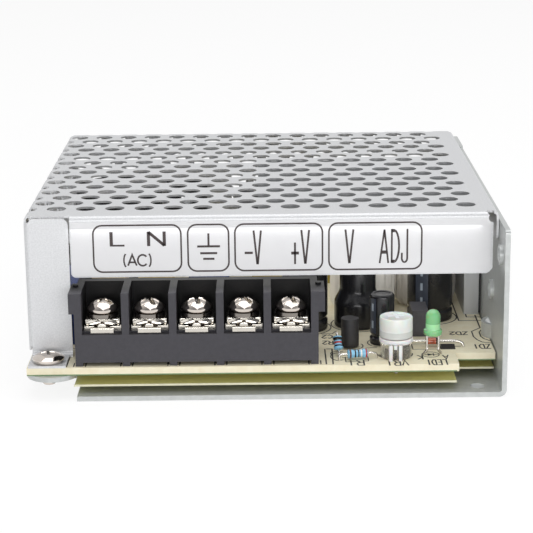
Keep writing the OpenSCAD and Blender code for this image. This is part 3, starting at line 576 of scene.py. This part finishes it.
# ---------------------------------------------------------------- label
def label_print():
    """Frames and generic marks over the terminals and the trimmer, as raised ink."""
    lo, hi = corners("front_label")
    bm = bmesh.new()
    at = on_front(lo.y)
    foot, head = hi.z - 9.15, hi.z - 2.05
    for x0, x1 in ((-34.5, -16.76), (-15.39, -7.15), (-5.88, 11.78), (13.09, 31.84)):
        line(bm, rounded(x0, hi.z - 10.4, x1, hi.z - 0.7, 1.8), 0.34, at, closed=True)

    def stroke(width, *points):
        line(bm, points, width, at)

    def vee(x0, x1):
        mid = (x0 + x1) / 2
        stroke(0.40, (x0, head), (mid - 0.05, foot + 0.05))
        stroke(0.40, (x1, head), (mid + 0.05, foot + 0.05))

    # L and N, which are low and wide
    stroke(0.66, (-30.84, head), (-30.84, head - 3))
    stroke(0.37, (-30.6, head - 2.84), (-28.18, head - 2.84))
    stroke(0.64, (-23.31, head), (-23.31, head - 3))
    stroke(0.64, (-20.13, head), (-20.13, head - 3))
    stroke(0.6, (-23.3, head - 0.1), (-20.15, head - 2.9))
    # (AC)
    mid = head - 5.95
    stroke(0.32, *arc(-27.75, mid, 0.66, 115, 245, 8, 1.5))
    stroke(0.36, (-27.6, mid - 1.1), (-26.72, mid + 1.15), (-25.84, mid - 1.1))
    stroke(0.34, (-27.3, mid - 0.4), (-26.14, mid - 0.4))
    stroke(0.36, *arc(-24.6, mid, 1.0, 40, 320, 14, 1.15))
    stroke(0.32, *arc(-23.6, mid, 0.66, 65, -65, 8, 1.5))
    # earth
    earth = -11.22
    stroke(0.42, (earth, head - 0.5), (earth, head - 3.1))
    for drop, half in ((3.2, 2.3), (4.62, 1.72), (5.8, 1.14)):
        stroke(0.44, (earth - half, head - drop), (earth + half, head - drop))
    # -V and +V
    stroke(0.49, (-3.95, foot + 2.45), (-2.3, foot + 2.45))
    vee(-2.1, -0.62)
    stroke(0.6, (5.46, foot + 2.3), (7.02, foot + 2.3))
    stroke(0.40, (6.23, foot), (6.23, foot + 4.5))
    vee(7.53, 9.1)
    # V ADJ, whose letters are tall and narrow
    vee(16.43, 18.02)
    stroke(0.37, (23.36, foot), (24.3, head - 0.1))
    stroke(0.37, (25.1, foot), (24.3, head - 0.1))
    stroke(0.68, (23.75, foot + 2.3), (24.8, foot + 2.3))
    stroke(0.37, (25.8, foot), (25.8, head))
    stroke(0.68, (25.7, head - 0.34), (26.4, head - 0.34))
    stroke(0.68, (25.7, foot + 0.34), (26.4, foot + 0.34))
    stroke(0.40, *arc(26.2, (foot + head) / 2, 1.06, 80, -80, 14, (head - foot) / 2 - 0.2))
    stroke(0.37, (28.93, head), (28.93, foot + 1.1), *arc(28.38, foot + 1.0, 0.55, -10, -170, 8, 0.85),
           (27.84, foot + 2.1))
    put("label_print", bm, ["ink"], slot="label")


# ---------------------------------------------------------------- board
# strokes of the letters that the board uses, each in a square of side 1
STROKES = {
    "1": [[(0.5, 0), (0.5, 1)]],
    "2": [[(0, 0.8), (0.5, 1), (1, 0.75), (0, 0), (1, 0)]],
    "A": [[(0, 0), (0.5, 1), (1, 0)], [(0.2, 0.4), (0.8, 0.4)]],
    "C": [[(1, 0.85), (0.6, 1), (0, 0.7), (0, 0.3), (0.6, 0), (1, 0.15)]],
    "D": [[(0, 0), (0, 1), (0.6, 1), (1, 0.7), (1, 0.3), (0.6, 0), (0, 0)]],
    "E": [[(1, 1), (0, 1), (0, 0), (1, 0)], [(0, 0.5), (0.8, 0.5)]],
    "K": [[(0, 0), (0, 1)], [(1, 1), (0, 0.5), (1, 0)]],
    "L": [[(0, 1), (0, 0), (1, 0)]],
    "R": [[(0, 0), (0, 1), (0.8, 1), (1, 0.75), (0.8, 0.5), (0, 0.5)], [(0.5, 0.5), (1, 0)]],
    "V": [[(0, 1), (0.5, 0), (1, 1)]],
    "Z": [[(0, 1), (1, 1), (0, 0), (1, 0)]],
}
# the place marks, each with the two corners of its text
PLACE_MARKS = (
    ("LED1", 32.6, 0.9, 36.6, 4.2), ("VR1", 24.4, 0.8, 28.8, 4.0), ("R1", 16.6, 1.2, 19.9, 4.4),
    ("ZD1", 43.2, 11.2, 46.7, 14.1), ("ZD2", 39.2, 20.9, 43.0, 23.0), ("K", 31.0, 4.6, 32.0, 7.2),
    ("A", 36.2, 4.6, 37.3, 7.2), ("C2", 12.0, 19.4, 14.2, 21.8), ("R2", 12.0, 15.2, 14.2, 17.6),
)


def board_text(bm, text, x0, y0, x1, y1, place, width=0.31):
    """A place mark. Its foot is away from the front edge, so it reads from the back."""
    step = (x1 - x0) / (len(text) - 0.25)
    for i, letter in enumerate(text):
        for stroke in STROKES[letter]:
            line(bm, [(x1 - step * (i + 0.75 * u), front + y1 - (y1 - y0) * v) for u, v in stroke],
                 width, place)


def board_print():
    """The board's printing: place marks and outlines of the parts."""
    bm = bmesh.new()
    at = on_top(top)
    for place_mark in PLACE_MARKS:
        board_text(bm, *place_mark, at)

    def mark(points, width=0.26, closed=False):
        line(bm, [(x, front + y) for x, y in points], width, at, closed=closed)

    def area(points):
        patch(bm, [(x, front + y) for x, y in points], at)

    def circle(cx, cy, r, n, width):
        mark(arc(cx, cy, r, 0, 360, n)[:-1], width, True)

    # outline round the terminal block, with ticks beside each leg
    lo, hi = corners("terminal_block")
    mark([(lo.x + 0.3, 14.6), (lo.x - 0.85, 14.5), (lo.x - 0.85, 2.1)], 0.3)
    mark([(hi.x + 0.25, 12.1), (hi.x + 0.25, 2.1)], 0.3)
    mark([(hi.x + 0.6, 12.1), (hi.x + 1.75, 12.1), (hi.x + 1.6, 2.1)], 0.3)
    pitch = middle("terminal_screw_2")[0] - middle("terminal_screw_1")[0]
    for i in range(6):
        leg = lo.x + 1.8 + pitch * i
        for x in (leg - 1.2, leg + 1.2):
            mark([(x, 2.2), (x, 4.6)], 0.24)
    # heatsink
    mark([(44.2, 36), (44.2, 33.9), (47.3, 33.8)], 0.28)
    mark([(42.2, 60), (42.2, 31.15), (47.3, 31.1)], 0.28)
    mark([(46.2, 35.4), (46.15, 25.9)], 0.3)
    for k in (0, 1.55):
        mark([(46.2, 25.8 - k), (44.05 + k, 23.2 - k * 0.4), (44.0 + k, 19.6), (44.5 + k, 17.3 + k * 0.4),
              (45.4 + k * 0.8, 15.6 + k), (47.2, 14.9 + k)], 0.28)
    # capacitors and the sleeved choke
    x, y, _ = middle("small_capacitor")
    circle(x, y - front, 3.0, 36, 0.22)
    mark(arc(*OUTPUT_CANS[0][:2], 5.9, -160, 70, 36), 0.28)
    circle(20.1, 29.6, 5.8, 40, 0.24)
    circle(*OUTPUT_CANS[1][:2], 5.6, 40, 0.24)
    # diode
    mark([(30.5, 15.0), (30.5, 11.2), (36.3, 11.2), (36.3, 14.8), (30.5, 14.8)], 0.24)
    area([(36.4, 11.0), (39.3, 11.0), (39.45, 14.7), (36.5, 14.7)])
    mark([(39.3, 12.9), (40.6, 12.9)], 0.22)
    # lamp
    x, y, _ = middle("status_lamp")
    y -= front
    circle(x - 0.4, y + 0.1, 1.75, 28, 0.2)
    area([(x - 1.0, y + 0.8), (x - 1.0, y - 0.6), (x + 0.15, y + 0.1)])
    mark([(x + 0.2, y + 0.9), (x + 0.2, y - 0.7)], 0.2)
    mark([(x - 1.9, y + 0.1), (x + 1.1, y + 0.1)], 0.18)
    # trimmer
    x, y, _ = middle("trimmer_knob")
    x -= 0.1
    y -= front
    mark(arc(x, y + 1.4, 3.62, 178, 362, 30), 0.22)
    mark(arc(x, y + 1.4, 3.3, 186, 354, 30), 0.2)
    mark(arc(x, y + 1.2, 2.05, 170, 370, 24), 0.28)
    circle(x, y + 1.2, 1.65, 24, 0.2)
    # film resistors and the small transistor
    mark([(16.3, 6.7), (16.3, 3.4), (20.9, 3.9), (20.9, 7.1)], 0.2)
    mark(arc(14.9, 6.9, 1.55, 60, 300, 18, 2.5), 0.24)
    mark([(15.6, 6.4), (17.0, 6.2)], 0.2)
    mark(arc(14.9, 8.9, 1.5, 40, 200, 14), 0.22)
    mark(arc(17.75, 14.0, 2.6, 150, 390, 22), 0.22)
    mark([(20.8, 12.5), (23.2, 12.7)], 0.22)
    mark([(11.9, 22.7), (14.3, 22.7), (15.1, 24.4)], 0.22)
    put("board_print", bm, ["silk"], slot="board")


def board_edge():
    """Green mask along the foot of the board's front edge, and one solder joint that shows under it."""
    bm = bmesh.new()
    edge, z0 = board_lo.y, board_lo.z
    z1 = z0 + 0.22
    step = corners("trimmer_knob")[1].x + 8.55       # where the edge steps back
    brick(bm, (board_lo.x + 0.02, edge - 0.03, z0), (step, edge + 0.3, z1))
    brick(bm, (step - 0.3, edge - 0.03, z0), (step + 0.03, edge + 7.0, z1))
    brick(bm, (step, edge + 6.97, z0), (board_hi.x, edge + 7.3, z1))
    put("board_mask_edge", bm, ["mask"], slot="board")
    bm = bmesh.new()
    revolve(bm, [(0, 0), (0.25, 0), (0.36, 0.14), (0.3, 0.32), (0, 0.42)], (26.3, edge + 0.35, z0 - 0.4), 16)
    put("solder_dot", bm, ["tinned"], slot="lead_wire")


def sheet_edge():
    """The pale cut edge of the insulating sheet, which steps back near its right end."""
    lo, hi = corners("insulation_sheet")
    step = base_hi.x - 9.9
    bm = bmesh.new()
    brick(bm, (lo.x + 7.9, lo.y - 0.02, lo.z), (step, lo.y + 0.12, hi.z + 0.01))
    brick(bm, (step, lo.y + 8.48, lo.z), (hi.x, lo.y + 8.62, hi.z + 0.01))
    put("insulation_cut_edge", bm, ["sheet_edge"], slot="insulation")


# ---------------------------------------------------------------- capacitors, choke and coils
def capacitor(name, at, r, h, crimp, stripe, steps=64):
    """A sleeved can with its crimp, a printed stripe and the vent's score in its top."""
    lip = h - 0.06
    profile = [(0, 0), (r - 0.35, 0), (r - 0.08, 0.12), (r, 0.4),
               (r, crimp - 0.55), (r - 0.14, crimp - 0.4), (r - 0.34, crimp - 0.1),
               (r - 0.34, crimp + 0.1), (r - 0.14, crimp + 0.4), (r, crimp + 0.6),
               (r, h - 0.62), (r - 0.08, h - 0.3), (r - 0.3, lip), (r - 0.55, h),
               (r - 0.72, lip), (r - 0.8, h - 0.22), (0, h - 0.22)]
    bm = bmesh.new()
    revolve(bm, profile, at, steps)
    x, y, z = at
    z0, z1 = z + crimp + 0.75, z + lip - 0.75
    a0, a1 = stripe
    span(bm, at, r - 0.01, a0, a1, z0, z1, mat=3)
    # minus signs along the stripe
    mid, half, n = (a0 + a1) / 2, math.degrees(0.26 / r), max(2, int((z1 - z0) / 3.1))
    for k in range(n):
        sign = z0 + (k + 0.5) * (z1 - z0) / n
        span(bm, at, r + 0.01, mid - half, mid + half, sign - 0.8, sign + 0.8, mat=1, n=3)
    for a in (20, 140, 260):
        c, s = math.cos(math.radians(a)), math.sin(math.radians(a))
        line(bm, [(x - 0.1 * c, y - 0.1 * s), (x + c * r * 0.62, y + s * r * 0.62)], 0.16,
             on_top(z + h - 0.23), 0.03, mat=2)
    return put(name, bm, ["sleeve", "stripe", "black_band", "slate"], slot="black_sleeve")


def capacitors():
    """The small one in the open corner, the three at the output and the big one at the input."""
    lo, hi = corners("small_capacitor")
    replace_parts(capacitor("small_capacitor_sleeved", middle("small_capacitor"), 2.55, hi.z - lo.z, 1.9,
                          (198, 236)), "small_capacitor")
    cans = [capacitor("output_capacitor_%d" % (i + 1), (x, front + y, top), 4.9, h, 2.6, (226, 260))
            for i, (x, y, h) in enumerate(OUTPUT_CANS)]
    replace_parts(cans[0], "output_capacitors")
    lo, hi = corners("bulk_capacitor")
    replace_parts(capacitor("bulk_capacitor_sleeved", middle("bulk_capacitor"), (hi.x - lo.x) / 2,
                          hi.z - lo.z, 3.2, (60, 96), steps=96), "bulk_capacitor")


def choke():
    """A choke in a shrunk sleeve: a wide foot, a shoulder and a neck, with faint folds."""
    lo, hi = corners("sleeved_choke")
    r, h, neck = (hi.x - lo.x) / 2, hi.z - lo.z, 3.9
    profile = [(0, 0), (r - 0.3, 0), (r - 0.05, 0.15), (r, 0.5), (r, 5.0)]
    for i in range(1, 11):
        t = i / 10
        profile.append((r + (neck - r) * t * t * (3 - 2 * t), 5.0 + 3.4 * t))
    profile += [(neck, h - 0.35), (neck - 0.1, h - 0.1), (neck - 0.35, h), (neck - 0.55, h - 0.05),
                (neck - 0.7, h - 0.4), (0, h - 0.4)]

    def folds(a, z):
        return 0.035 * math.sin(7 * a + 2.1 * z) * min(1, max(0, z - 3) / 3)

    bm = bmesh.new()
    revolve(bm, profile, middle("sleeved_choke"), 64, wave=folds)
    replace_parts(put("sleeved_choke_body", bm, ["sleeve"], slot="black_sleeve", sharp=50), "sleeved_choke")


def coils():
    """Ring coils on edge, wound in white tape whose turns show as folds."""
    pieces = []
    for i, (x, y, diameter, h) in enumerate(COILS):
        r = diameter / 2
        profile = [(2.0, 0.05), (r - 1.2, 0.0)]
        for k in range(19):
            t = k / 18
            belly = 2.5 * (t - 0.38) ** 2
            end = 5 * max(0, abs(t - 0.5) - 0.42)
            profile.append((r - belly - end, h * (0.02 + 0.96 * t)))
        profile += [(r - 1.9, h), (2.0, h)]

        def folds(a, z, s=i):
            return (0.16 * math.sin(11 * a + s + 0.1 * z) + 0.10 * math.sin(23 * a + 1.7 * s - 0.16 * z)
                    + 0.05 * math.sin(41 * a + 0.3 * z))

        bm = bmesh.new()
        revolve(bm, profile, (x, front + y, top), 180, wave=folds)
        pieces.append(put("taped_coil_%d" % (i + 1), bm, ["tape"], slot="white_tape", sharp=60))
    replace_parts(pieces[0], "taped_coils")


# ---------------------------------------------------------------- small parts in the open corner
def resistor(bm, a, b, r, length, bands):
    """A dog-bone body between two points. Its bands are (start, width, material), as shares of it."""
    a, b = Vector(a), Vector(b)
    ahead = (b - a).normalized()
    start = (a + b) / 2 - ahead * length / 2
    n = 44
    profile = []
    for i in range(n + 1):
        t = i / n
        from_end = min(t, 1 - t)
        dome = r * math.sqrt(max(0, 1 - (1 - min(1, from_end / 0.07)) ** 2))
        waist = 0.15 * max(0, min(1, (from_end - 0.24) / 0.06))
        profile.append((max(0.26, dome - waist) if 0 < i < n else 0, length * t))
    bands = [(length * start_at, length * (start_at + width), m) for start_at, width, m in bands]
    revolve(bm, profile, tuple(start), 28, bands=bands, axis=tuple(ahead))


def film_resistors():
    """Two banded resistors on bent leads, one level and one nearly upright."""
    bm = bmesh.new()
    z = top + 1.25
    resistor(bm, (15.2, front + 4.5, z), (22.2, front + 5.6, z), 0.93, 4.3,
             [(0.10, 0.08, 1), (0.335, 0.075, 2), (0.50, 0.07, 2), (0.64, 0.075, 3), (0.86, 0.07, 4)])
    tube(bm, bent([(15.0, front + 4.3, top - 0.6), (15.0, front + 4.35, z - 0.1), (15.9, front + 4.6, z),
                   (21.6, front + 5.5, z), (22.5, front + 5.65, z - 0.2), (22.7, front + 5.7, top - 0.6)],
                  0.7), 0.25, 12, mat=5)
    # the second one leans forward over its front lead
    foot, head = (15.0, front + 7.5, top + 1.3), (14.75, front + 9.1, top + 3.7)
    resistor(bm, foot, head, 0.95, 2.9, [(0.2, 0.12, 2), (0.44, 0.12, 4), (0.66, 0.2, 2)])
    tube(bm, bent([(15.1, front + 6.7, top - 0.5), (15.05, front + 7.0, top + 0.9), foot, head,
                   (14.7, front + 9.6, top + 4.3), (14.8, front + 10.5, top + 3.4),
                   (14.9, front + 10.7, top - 0.5)], 0.6), 0.25, 12, mat=5)
    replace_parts(put("film_resistors_banded", bm,
                    ["res_blue", "brown", "black_band", "white_band", "red", "lead"],
                    slot="resistor_blue", sharp=55), "film_resistors")


def diode():
    """A glass diode with a dark band near each end, lying on its bent leads."""
    bm = bmesh.new()
    y, z = front + 13.2, top + 1.15
    profile = [(0, 0), (0.3, 0.02), (0.55, 0.15), (0.7, 0.4), (0.72, 0.8), (0.72, 2.2), (0.7, 2.6),
               (0.55, 2.85), (0.3, 2.98), (0, 3.0)]
    revolve(bm, profile, (33.2, y, z), 32, bands=[(0.2, 0.5, 1), (2.25, 2.75, 1)], axis=(1, 0, 0))
    tube(bm, bent([(29.6, y, top - 0.5), (29.6, y, z - 0.05), (30.4, y, z + 0.02), (39.6, y - 0.05, z),
                   (40.9, y - 0.3, z - 0.3), (41.2, y - 0.4, top - 0.4)], 0.9), 0.3, 14, mat=2)
    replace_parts(put("signal_diode_glass", bm, ["diode", "black_band", "lead"], slot="diode_glass",
                    sharp=60), "signal_diode")


def small_transistor():
    """A round body with one flat side, on three leads."""
    lo, hi = corners("small_transistor")
    x, y, r = (lo.x + hi.x) / 2 - 0.15, (lo.y + hi.y) / 2, (hi.x - lo.x) / 2 - 0.2
    bm = bmesh.new()
    patch(bm, arc(x, y, r, 75, 385, 40), on_top(top + 0.35), hi.z - top - 1.0)
    soften(bm, [e for e in bm.edges if abs(e.verts[0].co.z - e.verts[1].co.z) < 1e-7], 0.1)
    for lead in (x - 1.1, x, x + 1.1):
        tube(bm, [(lead, y, top + 0.6), (lead, y, top - 0.5)], 0.25, 10, mat=1)
    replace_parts(put("small_transistor_body", bm, ["black_body", "lead"], sharp=40), "small_transistor")


# ---------------------------------------------------------------- lamp and trimmer
def lamp():
    """A 3 mm lamp with its rim and a paler foot, and its two legs, which spread over the board."""
    x, y, z = middle("status_lamp")
    lo, hi = corners("status_lamp")
    r, rim, h = 1.5, (hi.x - lo.x) / 2, hi.z - lo.z
    profile = [(0, 0), (rim - 0.12, 0), (rim, 0.12), (rim, 0.95), (rim - 0.14, 1.1), (r + 0.04, 1.16),
               (r, 1.3), (r, 2.4), (r, h - r)]
    dome = [math.pi / 2 * i / 12 for i in range(1, 12)]
    profile += [(r * math.cos(a), h - r + r * math.sin(a)) for a in dome] + [(0, h)]
    bm = bmesh.new()
    revolve(bm, profile, (x, y, z), 48, bands=[(1.2, 2.4, 1)])
    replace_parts(put("status_lamp_lens", bm, ["lamp", "lamp_pale"], slot="lamp", sharp=50), "status_lamp")
    bm = bmesh.new()
    for side, spread, back in ((-1, -1.75, 0.1), (1, 1.75, 0.35)):
        tube(bm, bent([(x + side * 1.2, y, z + 0.3), (x + side * 1.2, y, top + 1.6),
                       (x + side * 1.1, y - 0.1, top + 1.1), (x + spread, y + back, top + 0.25),
                       (x + spread * 1.05, y + back, top - 0.5)], 0.5), 0.26, 12)
    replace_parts(put("lamp_legs", bm, ["lead"], slot="lead_wire", sharp=60), "lamp_leads")


def trimmer():
    """A clear body with a white band and a forked foot, and a milky cap on a clearer skirt."""
    x, y, _ = middle("trimmer_knob")
    lo, hi = corners("trimmer_knob")
    r, h = (hi.x - lo.x) / 2, hi.z - lo.z
    bm = bmesh.new()
    revolve(bm, [(0, 0), (3.05, 0), (3.15, 0.1), (3.15, 3.15), (0, 3.15)], (x, y, top))
    revolve(bm, [(2.2, 3.16), (3.3, 3.16), (3.42, 3.28), (3.42, 4.1), (3.34, 4.2), (2.2, 4.2)],
            (x, y, top), mat=1)
    fork = x - 0.3
    for prong in (fork - 0.98, fork + 0.98):
        brick(bm, (prong - 0.46, y - 3.75, top - 0.1), (prong + 0.46, y - 2.6, top + 3.5), 1, 0.12)
    brick(bm, (fork - 0.4, y - 3.7, top + 2.4), (fork + 0.4, y - 2.6, top + 3.4), 1, 0.08)
    brick(bm, (fork - 0.32, y - 2.9, top + 0.1), (fork + 0.32, y - 2.7, top + 2.3), 2, 0.05)
    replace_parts(put("trimmer_body", bm, ["clear", "white_frost", "silk"], slot="clear_plastic",
                    sharp=45), "trimmer_base")
    skirt = h * 0.34
    bm = bmesh.new()
    revolve(bm, [(1.3, 0.02), (r - 0.1, 0.02), (r, 0.12), (r, skirt), (r, h - 0.3), (r - 0.1, h - 0.06),
                 (r - 0.3, h), (r - 0.42, h - 0.05), (0, h - 0.05)], (x, y, lo.z), 72,
            bands=[(0, skirt, 1)])
    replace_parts(put("trimmer_cap", bm, ["knob", "skirt"], body="trimmer", slot="knob_plastic",
                    sharp=40), "trimmer_knob")
    # the cross slot isn't cut: a flat tint a little darker than the cap lies in its place, a painted shade
    # for its groove; its second line lies a little higher where they meet
    bm = bmesh.new()
    for a in (8, 98):
        c, s = 1.7 * math.cos(math.radians(a)), 1.7 * math.sin(math.radians(a))
        line(bm, [(x - c, y + 0.2 - s), (x + c, y + 0.2 + s)], 0.7, on_top(hi.z - 0.045),
             0.012 + 0.0001 * a)
    put("trimmer_cross_painted_shade", bm, ["knob_slot"], body="trimmer", slot="knob_plastic")


# ---------------------------------------------------------------- terminals
SCREW_TURNS = (62, 25, 12, 40, 20)   # how far each head is turned at rest, in degrees


def dome_head(r, h, dome, shank, drop, slot, arm, depth, through):
    """A domed head on its shank, its underside at height 0, with a tapered cross and a slot across it.

    dome is the dome's radius, drop the shank's length, slot and arm the cross's width and length,
    and depth and through how deep the cross and the slot are. A slot of no depth isn't cut.
    """
    rise = math.sqrt(dome * dome - r * r) + h - dome
    fold = [math.pi / 2 * i / 8 for i in range(9)]
    edge = math.asin((rise - h + dome) / dome)
    crown = [edge + (math.pi / 2 - edge) * i / 16 for i in range(16)]
    profile = [(0, -drop), (shank - 0.25, -drop), (shank, -drop + 0.3), (shank, 0)]
    profile += [(r - 0.7 + 0.7 * math.sin(a), rise * 0.9 * (1 - math.cos(a))) for a in fold]
    profile += [(dome * math.cos(a), h - dome + dome * math.sin(a)) for a in crown] + [(0, h)]
    bm = bmesh.new()
    revolve(bm, profile, (0, 0, 0), 96)
    for width, length, deep, taper in ((slot, arm, depth, 0.55), (arm, slot, depth, 0.55),
                                       (slot, 4 * r, through, 1)):
        if not deep:
            continue
        tool = bmesh.new()
        brick(tool, (-width / 2, -length / 2, h - deep), (width / 2, length / 2, h + 1), 1)
        for v in tool.verts:
            if v.co.z < h * MM:
                v.co.x *= taper
                v.co.y *= taper
        bm = cut(bm, tool)
    rim = [e for e in bm.edges if len({f.material_index for f in e.link_faces}) == 2]
    soften(bm, rim, 0.05, material=1)
    return bm


def screw(head, name, piece, foot, turn, mats, **said):
    """Stand a copy of a head on its washer, for a CAD node, as a piece."""
    x, y, _ = middle(name)
    bm = head.copy()
    place = Matrix.Translation(mm(x, y, foot)) @ Matrix.Rotation(math.radians(turn), 4, "Z")
    bmesh.ops.transform(bm, matrix=place, verts=bm.verts)
    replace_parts(put(piece, bm, mats, sharp=30, **said), name)


def screws():
    """The terminals' screws, with a cross and a slot, and the cover's screw, with a cross."""
    plating = ["chrome", "nickel"]
    lo, hi = corners("terminal_screw_1")
    foot = corners("terminal_washer_1")[1].z
    head = dome_head((hi.x - lo.x) / 2, hi.z - foot, dome=3.78, shank=1.75, drop=foot - lo.z, slot=1.0,
                     arm=3.8, depth=1.5, through=0.85)
    for i, turn in enumerate(SCREW_TURNS):
        name = "terminal_screw_%d" % (i + 1)
        screw(head, name, name + "_head", foot, turn, plating, body=name, slot="contact_plate")
    head.free()
    lo, hi = corners("cover_screw")
    height = 2.1
    foot = hi.z - height
    head = dome_head(3.25, height, dome=5.2, shank=1.45, drop=foot - lo.z, slot=0.9, arm=3.6, depth=1.3,
                     through=0)
    screw(head, "cover_screw", "cover_screw_head", foot, 12, plating, slot="screw_steel")
    head.free()


# The front of a clamp, from its middle and its foot: one of its two wings, and the tongue between them
WING = ((0.3, 1.2), (0.42, 1.5), (0.8, 1.66), (2.35, 1.68), (3.2, 1.2), (3.25, 1.06), (2.5, 0.84),
        (1.8, 0.74), (1.0, 0.86))
TONGUE = ((-0.8, 0.08), (0.8, 0.08), (0.86, 0.4), (0.62, 0.66), (0.2, 0.76), (-0.2, 0.76),
          (-0.62, 0.66), (-0.86, 0.4))
CLAMP_TOP, WING_LEAN = 1.68, 0.28


def clamp(name):
    """A wire clamp: a plate round the screw, wings that lean forward, legs, feet and a tongue."""
    x, _, z = middle(name)
    y = corners(name)[1].y - 3.2          # the screw's axis
    bm = bmesh.new()
    brick(bm, (x - 3.3, y - 2.75, z + 1.2), (x + 3.3, y + 3.15, z + CLAMP_TOP), bevel=0.12)
    hole = bmesh.new()
    revolve(hole, [(0, -1), (1.85, -1), (1.85, 3), (0, 3)], (x, y, z), 32)
    bm = cut(bm, hole)
    for side in (-1, 1):
        wing = bmesh.new()
        patch(wing, [(x + side * u, z + v) for u, v in WING[::side]], on_front(y - 2.9), 0.3)
        soften(wing, list(wing.edges), 0.07)
        for v in wing.verts:
            v.co.y -= WING_LEAN * ((z + CLAMP_TOP) * MM - v.co.z)
        join(bm, wing)
        leg, foot = x + side * 3.15, x + side * 2.6
        brick(bm, (leg - 0.3, y - 1.2, z + 0.2), (leg + 0.3, y + 3.1, z + 1.3), bevel=0.1)
        brick(bm, (foot - 0.95, y - 2.7, z + 0.02), (foot + 0.95, y + 3.1, z + 0.2), bevel=0.06)
    tongue = bmesh.new()
    patch(tongue, [(x + u, z + v) for u, v in TONGUE], on_front(y - 2.7), 0.42)
    soften(tongue, list(tongue.edges), 0.08)
    join(bm, tongue)
    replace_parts(put(name + "_saddle", bm, ["tinned"], body=name, slot="contact_plate"), name)


# ---------------------------------------------------------------- the scene
scene.view_settings.view_transform = "Standard"
camera()
dress_frame()
studio_world()
studio_lamps()
floor()

label_print()
board_print()
board_edge()
sheet_edge()
capacitors()
choke()
coils()
film_resistors()
diode()
small_transistor()
lamp()
trimmer()
screws()
for number in range(1, 6):
    clamp("terminal_clamp_%d" % number)
